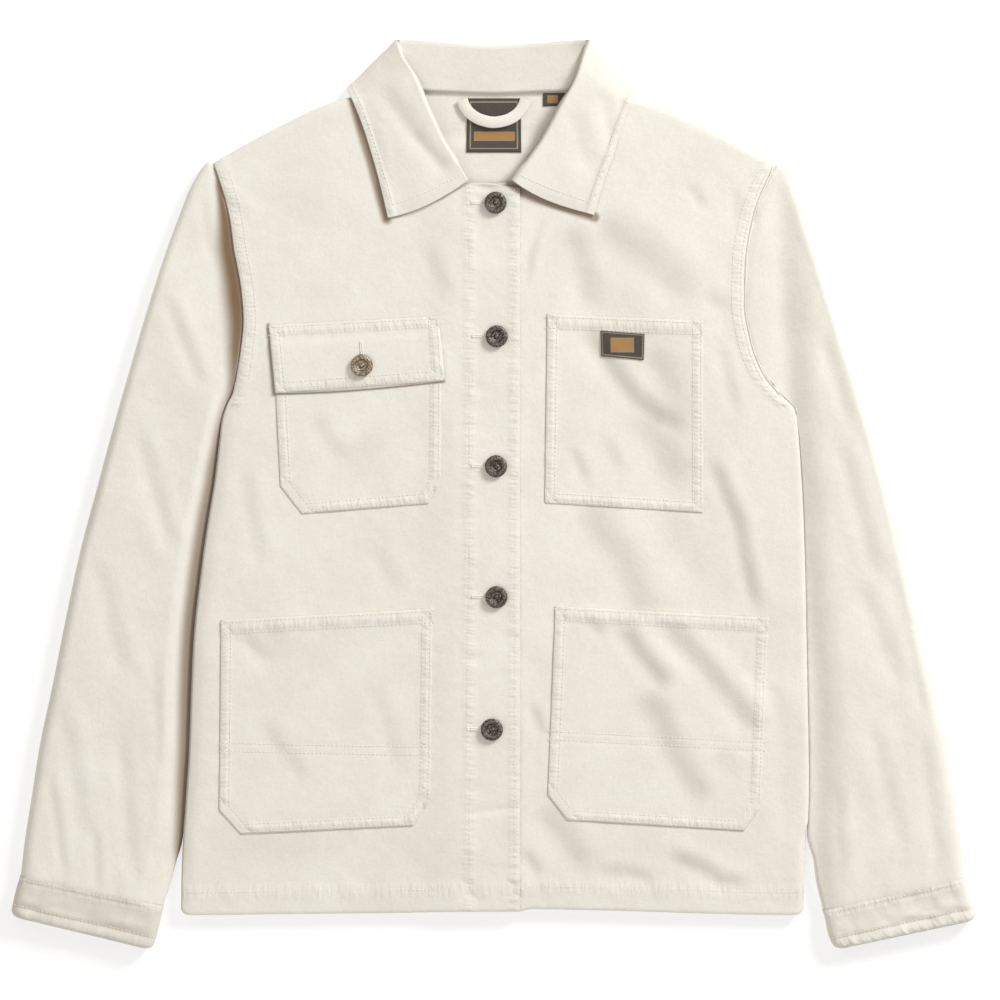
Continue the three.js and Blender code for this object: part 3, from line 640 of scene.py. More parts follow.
def canvas_finish(name, with_contact_shadows=False):
    """Undyed canvas: plain weave, slubby yarns, painted shade and ripples beside stitches."""
    finish = Finish(name, roughness=0.92)
    u, v = finish.uv_axes()
    warp = (u * (TAU / (YARN_PITCH * MM))).sine()
    weft = (v * (TAU / (YARN_PITCH * MM))).sine()
    uv = finish.node("ShaderNodeUVMap", uv_map="cut")
    slubs_up = finish.noise(finish.stretched(uv, 1.0, 0.12), 900, 2)
    slubs_across = finish.noise(finish.stretched(uv, 0.12, 1.0), 900, 2)
    place = finish.place()
    cloudy = finish.noise(place, 26, 4, 0.6)
    fine = finish.noise(place, 420, 3, 0.6)
    crumple = finish.noise(place, 130, 4, 0.55)
    shade = cloudy * 0.45 + fine * 0.30 + slubs_up * 0.13 + slubs_across * 0.12
    tone = shade.ramp(0.36, 0.66)
    # How much painted shade each point gets, from its paint attribute.
    painted_shade = finish.node("ShaderNodeAttribute", output="Fac", attribute_name="paint")
    if with_contact_shadows:
        painted_shade = painted_shade.most(contact_shade(finish))
    cloth = finish.mix(tone, CANVAS_DARK, CANVAS_LIGHT)
    finish.set("Base Color", finish.mix(painted_shade, cloth, CANVAS_PAINTED_SHADE))
    finish.set("Sheen Weight", 0.12)
    finish.set("Specular IOR Level", 0.18)
    ladder = finish.node("ShaderNodeAttribute", output="Fac", attribute_name="ladder")
    across = finish.noise(finish.stretched(uv, 1.0, 0.22), 250, 1)
    upright = finish.noise(finish.stretched(uv, 0.22, 1.0), 250, 1)
    drawn = ladder.most(0.0) * across + (ladder * -1.0).most(0.0) * upright
    weave = warp * weft * 0.10 + slubs_up * 0.35 + slubs_across * 0.35
    height = weave * 0.22 + fine * 0.12 + crumple * 0.5 + drawn * 1.9
    finish.bump(height, 0.0011, 0.75)
    return finish.material


def thread_finish():
    finish = Finish("thread", roughness=0.8)
    twist = finish.noise(finish.place(), 1500, 2)
    finish.set("Base Color", finish.mix(twist, THREAD_COLOUR, CANVAS_LIGHT))
    return finish.material


def label_finish():
    finish = Finish("label", roughness=0.8)
    paint = finish.node("ShaderNodeAttribute", output="Fac", attribute_name="paint")
    fine = finish.noise(finish.place(), 700, 3)
    dark = finish.mix(fine, LABEL_DARK, LABEL_DARK_YARN)
    edged = finish.mix(paint.ramp(0.3, 0.7), dark, LABEL_EDGE)
    finish.set("Base Color", finish.mix(paint.ramp(1.3, 1.7), edged, LABEL_OCHRE))
    finish.bump(fine, 0.0004, 0.6)
    return finish.material


def metal_finish(name, dark, light, roughness):
    finish = Finish(name, roughness=roughness, metallic=0.85)
    place = finish.place()
    spots = finish.noise(place, 760, 4, 0.7).ramp(0.42, 0.6)
    finish.set("Base Color", finish.mix(spots, dark, light))
    finish.set("Roughness", 0.62 - spots * 0.2)
    finish.bump(finish.noise(place, 900, 3, 0.6), 0.0005, 0.8)
    return finish.material


CANVAS = canvas_finish("canvas")
# A copy of the canvas with the painted contact shadows, for the pieces that other parts lie on.
CANVAS_SHADOWED = canvas_finish("canvas_painted_shadows", with_contact_shadows=True)
THREAD = thread_finish()
LABEL = label_finish()
DARK_METAL = metal_finish("dark_metal", (0.05, 0.043, 0.038), (0.27, 0.235, 0.20), 0.5)
PALE_METAL = metal_finish("pale_metal", (0.16, 0.13, 0.095), (0.55, 0.47, 0.36), 0.5)


def from_edges(length, step, close=(0.35, 0.9, 1.7, 2.8, 4.2, 6)):
    """Positions from 0 to length, close together at both ends."""
    close = [c for c in close if c < 0.4 * length]
    inner = np.arange(close[-1] + step, length - close[-1] - step * 0.5, step)
    ends = [0, *close]
    return np.concatenate([ends, inner, [length - e for e in reversed(ends)]]) / length


def hem_ply(x, y):
    return lerp(DOUBLED, CLOTH, smooth((y - hem_line(x) - HEM_DEPTH) / 6))


def placket_ply(x, y):
    return np.maximum(hem_ply(x, y), lerp(CLOTH, DOUBLED, smooth((x - PLACKET_INNER + 8) / 6)))


def side_share(y):
    """1 where the edge is a side seam, 0 where it is an armhole."""
    return 1 - smooth((y - (UNDERARM_Y - 18)) / 20)


# Across a front, how far from its side the neck point lies, and how far its points are apart
NECK_POINT_SHARE = 0.56
PANEL_STEP = 2.3

# The right front's edge turns down sharply at the armhole and more softly at the side, because
# the sleeve falls away from it. The left one bulges a little over its sleeve, which lies level.
ARMHOLE_ROLL = 0.3
RIGHT_SIDE_ROLL = 1.4
BULGE_RADIUS = 3.0
BULGE_OUT = 1.2
BULGE_REACH = 4.5
BULGE_START = -0.98
FLAT_SIDE_BELOW_Y = -262


def bulged(x, edge_x, high, low):
    """The left side's cross-section: a round bulge just past the seam, then level cloth."""
    away = edge_x - x
    turn = lerp(BULGE_START, TAU / 4, np.clip(away / BULGE_REACH, 0, 1))
    centre_x, centre_z = edge_x + BULGE_OUT - BULGE_RADIUS, high - BULGE_RADIUS
    pulled = edge_x + BULGE_OUT - BULGE_RADIUS - (away - BULGE_REACH) * 1.36
    level_x = np.where(away < 12, pulled, x)
    on_bulge = away < BULGE_REACH
    new_x = np.where(on_bulge, centre_x + BULGE_RADIUS * np.cos(turn), level_x)
    new_z = np.where(on_bulge, np.maximum(centre_z + BULGE_RADIUS * np.sin(turn), low), high)
    return new_x, new_z


def front_grid(edge, top, centre_x, surface):
    """A front's top, row by row from the hem to its shoulder and neckline."""
    on_right = top["x"][0] < 0
    shoulder_x = top["x"][0]
    shares = from_edges(abs(centre_x - shoulder_x), PANEL_STEP)
    levels = from_edges(595, PANEL_STEP)
    top_line = Curve(top["x"], top["y"])
    top_y = top_line(lerp(shoulder_x, centre_x, shares))
    low_y = hem_line(lerp(edge(HEM_Y), centre_x, shares))
    y = lerp(low_y[None, :], top_y[None, :], levels[:, None])
    s = np.broadcast_to(shares[None, :], y.shape)
    edge_x = edge(y)
    x = lerp(edge_x, centre_x, s)
    high = surface(x, y)
    seam = SIDE_SEAM_Z + SEAM_GAP / 2
    away = np.abs(x - edge_x)
    if on_right:
        side = side_share(y)
        reach = lerp(ARMHOLE_ROLL, RIGHT_SIDE_ROLL, side)
        sided = lerp(seam, high - 0.4 * side * bell(away / 9), roll(away / reach))
    else:
        low = lerp(high - ARMHOLE_DROP, seam, side_share(y))
        bulge_x, bulge_z = bulged(x, edge_x, high, low)
        flat = smooth((FLAT_SIDE_BELOW_Y - y) / 12)
        x = lerp(bulge_x, x, flat)
        sided = lerp(bulge_z, lerp(low, high, roll(away / SIDE_ROLL)), flat)
    rolled = lerp(seam, sided, roll((top_y[None, :] - y) * SHOULDER_COSINE / SIDE_ROLL))
    z = np.where(s < NECK_POINT_SHARE, rolled, sided)
    z -= 0.8 * bell((y - low_y[None, :]) / 1.1)
    return np.stack([x, y, z], axis=-1)


def panel(name, outer, ply, sign, above, paint):
    """A front's shell, whose underside stays above a height."""
    inner = offset(outer, -sign * ply)
    inner[..., 2] = np.maximum(inner[..., 2], above)
    return shell(name, outer, inner, CANVAS_SHADOWED, paint=paint)


def finished(piece, node, flat):
    """Hides the CAD node that a cloth piece stands for and attaches the piece to the root body."""
    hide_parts(node)
    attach(piece, "root")


# How deeply the valley beside the wearer's right side is shaded, from the hem up.
# `full` is how far out on the sleeve the shade stays whole, and `fade` how far it then fades;
# `inward` is its reach on the body.
VALLEY_SHADE = table("y share full fade inward", [
    [-336, 0.45, 0, 5, 5], [-310, 0.6, 0.5, 6, 6], [-280, 0.85, 2.4, 8, 7], [-206, 0.82, 4.4, 9, 8],
    [-118, 0.82, 5.4, 9, 8], [-54, 0.8, 5, 9, 8], [18, 0.78, 3.2, 9, 8], [42, 0.7, 1.4, 8, 8],
    [66, 0.48, 0.5, 7, 8], [86, 0.8, 1, 9, 5], [116, 0.97, 3.5, 13, 2.5], [154, 1, 6, 15, 2],
    [194, 1, 5.5, 13, 2], [220, 1, 4, 9, 2], [244, 0.95, 2, 4.5, 2], [256, 0.8, 0, 3, 2],
    [264, 0, 0, 3, 2],
])
valley = {k: Curve(VALLEY_SHADE["y"], VALLEY_SHADE[k]) for k in ("share", "full", "fade", "inward")}


def front_paint(x, y):
    """Warm shade on the fronts: in troughs and beside the valley."""
    away = x - edge_right(y)
    beside = 0.45 * bell(away / 0.8) + 0.28 * bell(away / valley["inward"](y))
    return np.minimum(trough_shade(x, y) + valley["share"](y) * beside, 1)


def front_ladder(x, y):
    """Where stitching draws ripples up: above 0 along a row that runs across, below 0 upright."""
    across = 0.9 * bell((y - hem_line(x) - HEM_DEPTH) / 5)
    upright = sum(bell((x - line) / 4) for line in (PLACKET_INNER, PLACKET_OUTER))
    upright = upright * (x > -40) * (x < 21)
    for edge in (edge_right, edge_left):
        upright = upright + 0.8 * bell((np.abs(x - edge(y)) - 6.7) / 4.5) * (y > 70)
    return across - upright * (1 - across)


right_grid = front_grid(edge_right, TOP_RIGHT, CENTRE_EDGE_RIGHT, right_top)
left_grid = front_grid(edge_left, TOP_LEFT, CENTRE_EDGE_LEFT, left_top)
above_seam = SIDE_SEAM_Z + SEAM_GAP / 2
right_ply = placket_ply(right_grid[..., 0], right_grid[..., 1])
left_ply = hem_ply(left_grid[..., 0], left_grid[..., 1])


def front_marks(grid):
    """A front's painted shade and stitch ripples."""
    x, y = grid[..., 0], grid[..., 1]
    return {"paint": front_paint(x, y), "ladder": front_ladder(x, y)}


front_right = panel("front_right_cloth", right_grid, right_ply, 1, above=above_seam,
                    paint=front_marks(right_grid))
front_left = panel("front_left_cloth", left_grid, left_ply, -1, above=above_seam,
                   paint=front_marks(left_grid))
finished(front_right, "front_right", (0.32, 0.68))
finished(front_left, "front_left", (0.27, 0.68))

# The back lies on the table, curls up to its seams and lies over the collar's fall.
OVER_COLLAR_Z = COLLAR_PLY + SEAM_GAP
BACK_STEP = 4.5
NECK_RISE = 5.0


def neck_rise(x, y):
    """The back is pushed up a little inside the neck opening."""
    return NECK_RISE * smooth((62 - np.abs(x)) / 26) * smooth((y - 222) / 30) * smooth((291 - y) / 16)


def over_collar(x, y):
    """How far the back lies above the table where it covers the collar's fall."""
    return OVER_COLLAR_Z * smooth((y - 280) / 14) * smooth((132 - np.abs(x)) / 14)


def back_grid():
    """The back's underside, from the hem to the shoulders and the neck."""
    left, right = TOP_BACK["x"][0], TOP_BACK["x"][-1]
    shares = from_edges(right - left, BACK_STEP)
    levels = from_edges(620, BACK_STEP)
    top_y = Curve(TOP_BACK["x"], TOP_BACK["y"])(lerp(left, right, shares))[None, :]
    low_y = hem_line(lerp(edge_right(HEM_Y), edge_left(HEM_Y), shares))[None, :]
    y = lerp(low_y, top_y, levels[:, None])
    s = np.broadcast_to(shares[None, :], y.shape)
    x0, x1 = edge_right(y), edge_left(y)
    seam = SIDE_SEAM_Z - SEAM_GAP / 2
    top_x = lerp(left, right, s)
    from_side = np.minimum(s, 1 - s) * (x1 - x0)
    side = seam * side_share(y) * (1 - roll(from_side / SIDE_ROLL))
    from_top = 1 - roll((top_y - y) * SHOULDER_COSINE / SIDE_ROLL)
    at_shoulder = np.where(np.abs(top_x) > 84, from_top, 0)
    z = np.maximum(side, lerp(over_collar(top_x, y), seam, at_shoulder)) + neck_rise(top_x, y)
    return np.stack([lerp(x0, x1, s), y, z], axis=-1)


back_outer = back_grid()
back_ply = hem_ply(back_outer[..., 0], back_outer[..., 1])
back_inside = offset(back_outer, back_ply)
raised = neck_rise(back_outer[..., 0], back_outer[..., 1])
back_inside[..., 2] = np.minimum(back_inside[..., 2], SIDE_SEAM_Z - SEAM_GAP / 2 + raised)
back_inside[..., 2] += 0.12 * waves(back_inside[..., 0], back_inside[..., 1], 18, 22, 41)
back = shell("back_cloth", back_outer, back_inside, CANVAS)
finished(back, "back", (0.51, 0.68))

# Sleeves: one row for each ring, by its outer end and its inner end in plan.
RING_COLUMNS = "ox oy ix iy"
SLEEVE_RIGHT = table(RING_COLUMNS, [
    [-222, 265, -206, 84], [-228.6, 264.4, -211, 82], [-241.6, 246.6, -213, 76],
    [-253.2, 218, -216, 68], [-262, 194.4, -218.5, 58], [-270, 170.4, -221, 47],
    [-279.5, 140, -224, 32], [-291.6, 98.4, -222.5, 3], [-305.2, 50.4, -228.5, -32],
    [-318, 2.4, -235, -68], [-330.8, -45.6, -240.5, -104], [-342.5, -100, -246.5, -150],
    [-353, -153, -251.5, -196], [-363, -200, -254, -238], [-370, -244, -250.4, -270],
    [-375.6, -280, -256.6, -304], [-378.6, -306.5, -264.8, -330.4],
])
SLEEVE_LEFT = table(RING_COLUMNS, [
    [221, 261, 219, 90], [231, 260.5, 224, 84], [241, 240, 234, 76], [247.6, 218, 239, 68],
    [255.6, 194.4, 243, 58], [262.8, 170.4, 246, 47], [272.5, 140, 249, 32],
    [286.8, 98.4, 250.5, 3], [300.4, 50.4, 251.5, -32], [314, 2.4, 252.5, -68],
    [326, -45.6, 253, -104], [338, -100, 253.5, -150], [350, -153, 253.8, -196],
    [360.5, -200, 253.5, -238], [367.5, -244, 253.5, -270], [372.6, -280, 256, -304],
    [374.6, -308.5, 262.6, -334],
])
LAST_RING = 16
RING_STEP = 28
ARMHOLE_TOP_Y = 262.0
ARMHOLE_LOW_Y = 84.0
# Height of a sleeve's crown, height of its outer rim, and the width of its rounded edge
SLEEVE_CROWN = 15.5
SLEEVE_RIM_Z = 5
SLEEVE_ROLL = 8
# On the wearer's right (-1) and left (1): the gap to the body, then the inner rim's height and
# the width of its rounded edge
BESIDE_BODY = {-1: 0.2, 1: 0.8}
INNER_RIM_Z = {-1: 4.6, 1: 4.0}
INNER_ROLL = {-1: 2.5, 1: 2.0}
# Below this a sleeve no longer follows the body's side.
FREE_BELOW_Y = -285
# How much of the armhole's curve each of the first rings keeps
ARMHOLE_BOW = [1, 1, 0.75, 0.5, 0.3, 0.15, 0.05, 0]

SLEEVE_CREASES_RIGHT = table(FOLD_COLUMNS, [
    [-262, 150, -238, 90, 6, -1.0, 0.7],
    [-285, 40, -262, -40, 7, -1.1, 0.7],
    [-318, -60, -300, -140, 8, -1.0, 0.6],
    [-345, -180, -330, -270, 7, -0.9, 0.6],
    [-300, -200, -290, -300, 6, -0.9, 0.6],
    [-272, -140, -268, -220, 5, -0.8, 0.6],
    [-355, -230, -345, -300, 4, -0.8, 0.7],
    [-320, -270, -318, -312, 4, -0.8, 0.7],
    [-235, 235, -228, 190, 5, -0.7, 0.6],
])
SLEEVE_CREASES_LEFT = table(FOLD_COLUMNS, [
    [262, 120, 280, 60, 6, -0.9, 0.7],
    [276, 30, 300, -60, 7, -1.0, 0.7],
    [292, -80, 320, -150, 8, -1.0, 0.6],
    [300, -190, 322, -280, 7, -0.9, 0.6],
    [340, -200, 352, -290, 6, -0.9, 0.6],
    [272, -240, 276, -310, 5, -0.8, 0.6],
    [330, -120, 340, -170, 5, -0.7, 0.6],
])

# The right sleeve falls into a valley along the body; the left one lies level with it and
# has a shallow dip whose middle runs down the sleeve.
VALLEY_WIDTH = 23
VALLEY_LOW = table("ring z", [[0, 8.5], [3, 8], [6, 6], [13, 5.5], [15, 8], [16, 10.5]])
DIP_LINE = table("y x", [
    [-334, 256], [-286, 256], [-206, 258], [-86, 249], [34, 239], [96, 234], [154, 230],
    [217, 228], [262, 226],
])
dip_line = Curve(DIP_LINE["y"], DIP_LINE["x"])
DIP_DEPTH = 1.7
DIP_WIDTH = 11
BESIDE_DIP_Z = 11


def sleeve_top(side, ring, crown, inward, x, y):
    """Top of a sleeve before its rims: its crown with the valley or the dip beside the body."""
    if side < 0:
        share = np.maximum(0, 1 - inward / VALLEY_WIDTH) ** 1.4
        return lerp(crown, Curve(VALLEY_LOW["ring"], VALLEY_LOW["z"])(ring), share)
    dip_x = dip_line(y)
    base = lerp(np.minimum(crown, BESIDE_DIP_Z), crown, smooth((x - dip_x + 4) / 30))
    return base - DIP_DEPTH * bell((x - dip_x) / DIP_WIDTH) * smooth(ring / 2)


# Where the points lie round a sleeve, from its outer side (0) to its inner side (1).
SLEEVE_TOP_W = np.concatenate([[0, 0.004, 0.012, 0.025, 0.045], np.linspace(0.07, 0.9, 46),
                               [0.925, 0.945, 0.962, 0.976, 0.987, 0.995]])
SLEEVE_BOTTOM_W = np.concatenate([[1, 0.992, 0.98, 0.96, 0.93], np.linspace(0.88, 0.12, 18),
                                  [0.07, 0.04, 0.02, 0.008]])


def sleeve_grid(rings, edge, side, creases, seed):
    """A sleeve's outside as rings from the armhole to the cuff."""
    marks = np.arange(len(rings["ox"]))
    close = np.array([0, 0.2, 0.4, 0.6, 0.8])
    j = np.concatenate([close, np.linspace(1, 6, 55)[:-1], np.linspace(6, LAST_RING, 150)])
    ox, oy, ix, iy = (Curve(marks, rings[c])(j) for c in RING_COLUMNS.split())
    beside = edge(iy) + side * BESIDE_BODY[side]
    free = smooth((FREE_BELOW_Y + 15 - iy) / 25)
    ix = lerp(beside, ix, free)
    bow = Curve(np.arange(8), ARMHOLE_BOW)(np.clip(j, 0, 7))[:, None]
    length = np.hypot(ix - ox, iy - oy)[:, None]
    ox, oy, ix, iy = (a[:, None] for a in (ox, oy, ix, iy))
    w = np.concatenate([SLEEVE_TOP_W, SLEEVE_BOTTOM_W])[None, :]
    on_top = np.arange(w.size)[None, :] < SLEEVE_TOP_W.size
    j = j[:, None]
    seam_x = edge(lerp(ARMHOLE_TOP_Y, ARMHOLE_LOW_Y, w))
    straight = lerp(edge(ARMHOLE_TOP_Y), edge(ARMHOLE_LOW_Y), w)
    # Only the upper layer tucks under the front's edge; the lower one stops outside the back's.
    tuck = np.where(on_top & (w > 0.02) & (w < 0.98), 0.0, 1.0) * bell(j / 0.7) * side * 3.6
    x = lerp(ox, ix, w) + bow * (seam_x - straight) + tuck
    y = lerp(oy, iy, w) + 0 * x
    far = smooth(np.minimum(1, j / 6))
    crown = lerp(LOFT - ARMHOLE_DROP, SLEEVE_CROWN, far) - 1.5 * bell(j / 0.55)
    high = sleeve_top(side, j, crown, (1 - w) * length, x, y)
    soft = smooth(j / 2) * smooth(w * 8) * smooth((1 - w) * 5)
    high = high + soft * (
        0.75 * waves(x, y, 40, 60, seed) + 0.3 * waves(x + 0.3 * y, y, 16, 24, seed + 1)
        + folded(creases, x, y)
    )
    from_cuff = (LAST_RING - j) * RING_STEP
    high = high + 0.75 * bell(from_cuff / 22) * waves(w * length, y, 9, 30, seed + 2)
    high = high - 0.5 * bell(from_cuff / 2)
    inner = roll((1 - w) * length / INNER_ROLL[side])
    rim = np.where(w > 0.5, INNER_RIM_Z[side], SLEEVE_RIM_Z)
    z_top = lerp(rim, high, roll(w * length / SLEEVE_ROLL) * inner)
    away = np.minimum(w, 1 - w) * length
    z_bottom = rim * (1 - roll(away / SLEEVE_ROLL))
    return np.stack([x, y, np.where(on_top, z_top, z_bottom)], axis=-1)


sleeve_right_grid = sleeve_grid(SLEEVE_RIGHT, edge_right, -1, SLEEVE_CREASES_RIGHT, 50)
sleeve_left_grid = sleeve_grid(SLEEVE_LEFT, edge_left, 1, SLEEVE_CREASES_LEFT, 60)


def tube(name, grid, ply, sign, paint):
    """A sleeve's or cuff's shell, whose underside stays above the table."""
    inner = offset(grid, -sign * ply + np.zeros(grid.shape[:2]), wraps=True)
    inner[..., 2] = np.maximum(inner[..., 2], ply * 0.8)
    return shell(name, grid, inner, CANVAS, wraps=True, paint=paint)


def valley_paint(grid):
    """The warm shade on the right sleeve beside the body and along its outer side."""
    x, y = grid[..., 0], grid[..., 1]
    outward = edge_right(y) - x
    fading = smooth(1 - (outward - valley["full"](y)) / valley["fade"](y))
    outer_rim = 0.2 * bell((x - grid[:, :1, 0]) / 4) * smooth((150 - y) / 150)
    crevice = 1 - 0.35 * bell(outward / 1.2)
    return {"paint": np.minimum(0.97 * valley["share"](y) * fading * crevice + outer_rim, 1)}


def dip_paint(grid):
    """A faint painted warm shade all over the left sleeve, a little more along its dip."""
    x, y = grid[..., 0], grid[..., 1]
    dip_x = dip_line(y)
    return {"paint": 0.012 + 0.04 * bell((x - dip_x - 6) / 11) + 0 * y}


sleeve_right = tube("sleeve_right_cloth", sleeve_right_grid, CLOTH, -1,
                    valley_paint(sleeve_right_grid))
sleeve_left = tube("sleeve_left_cloth", sleeve_left_grid, CLOTH, 1, dip_paint(sleeve_left_grid))
finished(sleeve_right, "sleeve_right", (0.36, 0.60))
finished(sleeve_left, "sleeve_left", (0.36, 0.60))

# Cuffs: doubled bands, in plan from the seam to the free edge.
CUFF_PLY = 2.0
CUFF_ROLL = 6
# Its two stitch rows, as shares of its depth
CUFF_ROWS = (0.1, 0.72)
# Warm shade all over and on the side that faces away from the light, for each cuff
CUFF_SHADE = {-1: (0.12, 0.2), 1: (0.055, 0.08)}
CUFF_COLUMNS = "ox oy ix iy crown"
CUFF_RIGHT = table(CUFF_COLUMNS, [
    [-379, -307.1, -264.6, -331.2, 15.2],
    [-381.4, -314, -266, -338.2, 15.6],
    [-383.8, -324, -268.8, -350, 15.4],
    [-386.2, -335.2, -272.4, -362.6, 14.4],
    [-386.6, -337.4, -273, -364.8, 13],
])
CUFF_LEFT = table(CUFF_COLUMNS, [
    [375, -309.2, 262.6, -334.8, 15.2],
    [377.8, -316, 264.2, -342, 15.6],
    [380.8, -326, 266.4, -352, 15.4],
    [384.4, -338.4, 270.6, -362.4, 14.4],
    [385, -340.6, 271.4, -364.6, 13],
])
# How far a cuff reaches over its sleeve's end, how far above it, and its thin edge's ply there
SEAM_OVERLAP = 1.2
SEAM_RISE = 0.6
SEAM_PLY = 0.45
CUFF_CORNER = 5


def sleeve_end(grid, w, on_top):
    """A sleeve's last ring, read at a cuff's own positions round it."""
    last, n = grid[-1], SLEEVE_TOP_W.size
    top = [np.interp(w, SLEEVE_TOP_W, last[:n, k]) for k in range(3)]
    low = [np.interp(1 - w, 1 - SLEEVE_BOTTOM_W, last[n:, k]) for k in range(3)]
    return np.where(on_top[:, None], np.stack(top, axis=-1), np.stack(low, axis=-1))


def cuff_grid(rings, sleeve, seed):
    """A cuff whose seam edge lies over the end of its sleeve, and how far each row is past it."""
    t = np.concatenate([[0, 0.02, 0.05, 0.1], np.linspace(0.18, 3.4, 30), [3.6, 3.75, 3.88, 4]])
    marks = np.array([0, 0.9, 2.2, 3.75, 4])
    values = [Curve(marks, rings[c])(t)[:, None] for c in CUFF_COLUMNS.split()]
    ox, oy, ix, iy, crown = values
    length = np.hypot(ix - ox, iy - oy)
    top_w = np.concatenate([[0, 0.006, 0.02, 0.04], np.linspace(0.07, 0.93, 50), [0.96, 0.98, 0.994]])
    bottom_w = np.concatenate([[1, 0.99, 0.97, 0.94], np.linspace(0.88, 0.12, 16), [0.06, 0.03, 0.01]])
    w = np.concatenate([top_w, bottom_w])[None, :]
    on_top = np.arange(w.size)[None, :] < top_w.size
    depth = t[:, None] / 4
    from_end = np.minimum((1 - depth) * 30, CUFF_CORNER)
    cut = (CUFF_CORNER - np.sqrt(CUFF_CORNER**2 - (CUFF_CORNER - from_end) ** 2)) / length
    plan_w = cut + w * (1 - 2 * cut)
    x, y = lerp(ox, ix, plan_w), lerp(oy, iy, plan_w)
    soft = smooth(w * 10) * smooth((1 - w) * 10)
    ripples = 0.6 * waves(w * length + 4 * depth, depth * 30, 6, 18, seed)
    crumples = 1.1 * waves(w * length + 16 * depth, depth * 30, 17, 6, seed + 2)
    slopes = 0.6 * waves(w * length, depth * 30, 26, 40, seed + 1)
    stitched = -0.35 * bell((depth - CUFF_ROWS[0]) / 0.03) - 0.7 * bell((depth - CUFF_ROWS[1]) / 0.05)
    lip = 0.4 * bell((depth - 0.9) / 0.08)
    high = crown + soft * (ripples + slopes + stitched + lip + crumples * bell((depth - 0.6) / 0.25))
    away = roll(np.minimum(w, 1 - w) * length / CUFF_ROLL)
    rim = crown / 2
    z = np.where(on_top, lerp(rim, high, away), rim * (1 - away))
    own = np.stack([x, y, z], axis=-1)
    down = own[-1] - own[0]
    down[:, 2] = 0
    down /= np.linalg.norm(down, axis=1, keepdims=True)
    past = np.linalg.norm((own - own[:1])[..., :2], axis=2)
    end = sleeve_end(sleeve, w[0], on_top[0])
    outward = np.sign(rings["ox"][0]) * (bell(w[0] / 0.03) - bell((1 - w[0]) / 0.03))
    end[:, 0] += SEAM_RISE * outward
    end[:, 2] += SEAM_RISE * on_top[0]
    start = end[None] + down[None] * (past - SEAM_OVERLAP)[..., None]
    share = smooth(past / 2.4)[..., None]
    return lerp(start, own, share), lerp(SEAM_PLY, CUFF_PLY, share[..., 0])


def cuff_paint(grid, side):
    """Warm shade on a cuff: all over a little, more on the side that faces away from the light."""
    x = grid[..., 0]
    left = x.min(axis=1, keepdims=True)
    all_over, turned_away = CUFF_SHADE[side]
    shade = all_over + turned_away * bell((x - left) / 7)
    depth = np.linspace(0, 1, grid.shape[0])[:, None]
    # Painted shade along the groove of the second stitch row.
    shade = shade + 0.05 * bell((depth - CUFF_ROWS[1]) / 0.1)
    ladder = bell((depth - 0.12) / 0.12) + bell((depth - 0.95) / 0.12) + 0 * x
    return {"paint": shade, "ladder": ladder}


cuff_right_grid, right_cuff_ply = cuff_grid(CUFF_RIGHT, sleeve_right_grid, 70)
cuff_left_grid, left_cuff_ply = cuff_grid(CUFF_LEFT, sleeve_left_grid, 75)
cuff_right = tube("cuff_right_cloth", cuff_right_grid, right_cuff_ply, -1,
                  cuff_paint(cuff_right_grid, -1))
cuff_left = tube("cuff_left_cloth", cuff_left_grid, left_cuff_ply, 1, cuff_paint(cuff_left_grid, 1))
finished(cuff_right, "cuff_right", (0.245, 0.034))
finished(cuff_left, "cuff_left", (0.245, 0.034))

# The collar, folded at its roll line. n is the neck seam, r the roll line, e the free edge.
# The collar's last row, counted from 0
COLLAR_END = 18
COLLAR_EDGE_PLY = 1.2
COLLAR_COLUMNS = "nx ny nz rx ry rz ex ey ez fall"
# One row for each place along it, from the wearer's right front round the neck to the left one.
COLLAR = table(COLLAR_COLUMNS, [
    [-26.5, 249.5, 15.6, -20.5, 249.5, 16.6, -85, 219.4, 12.3, 2.2],
    [-47, 262, 14.2, -31.5, 266, 16.6, -91, 245, 12.3, 2.2],
    [-60, 281, 13.0, -43, 286, 16.8, -98, 270, 12.3, 2.2],
    [-70, 299, 12.4, -53, 307, 16.6, -106, 295, 12.0, 2.2],
    [-79, 313, 12.0, -64, 334, 16, -112, 310, 11.2, 2.0],
    [-83, 329, 10, -73.5, 350, 14.5, -117, 322, 6.5, 1.4],
    [-75, 325.5, 6, -77, 360.5, 11.5, -112, 326, 3.2, 1.7],
    [-58, 321.6, 4.8, -66, 361, 10.5, -96, 321, 2.3, 2.4],
    [-32, 320.5, 4.6, -36, 358.8, 9.6, -60, 311, 2.3, 2.6],
    [-1.5, 319.6, 4.6, -1.5, 356.3, 9.6, -1.5, 309, 2.3, 2.6],
    [29, 320.5, 4.6, 33, 358.8, 9.6, 57, 311, 2.3, 2.6],
    [55, 321.6, 4.8, 63, 361, 10.5, 93, 321, 2.3, 2.4],
    [72, 325.5, 6, 74, 360.5, 11.5, 109, 326, 3.2, 1.7],
    [80, 329, 10, 70, 350, 14.5, 114, 322, 6.5, 1.4],
    [77, 313, 12.0, 65, 334, 16, 109, 310, 11.2, 2.0],
    [68, 299, 12.4, 51, 307, 16.6, 103, 295, 12.0, 2.2],
    [58, 281, 13.0, 39.5, 286, 16.8, 95, 270, 12.3, 2.2],
    [43.5, 262, 14.2, 26, 266, 16.6, 86.5, 246, 12.3, 2.2],
    [21.5, 249, 15.6, 13.8, 249.2, 16.6, 79.4, 221.6, 12.3, 2.2],
])
# How far the lower edges of the two wings bow downwards.
WING_BOW_RIGHT = 4.5
WING_BOW_LEFT = 3.9
COLLAR_CREASES = table(FOLD_COLUMNS, [
    [-92, 324, -64, 284, 8, -1.2, 0.7],
    [-64, 284, -42, 258, 6, -1.1, 0.7],
    [60, 300, 76, 256, 8, -0.8, 0.6],
    [84, 318, 92, 280, 6, -0.7, 0.6],
    [-100, 290, -92, 250, 5, -0.6, 0.6],
])

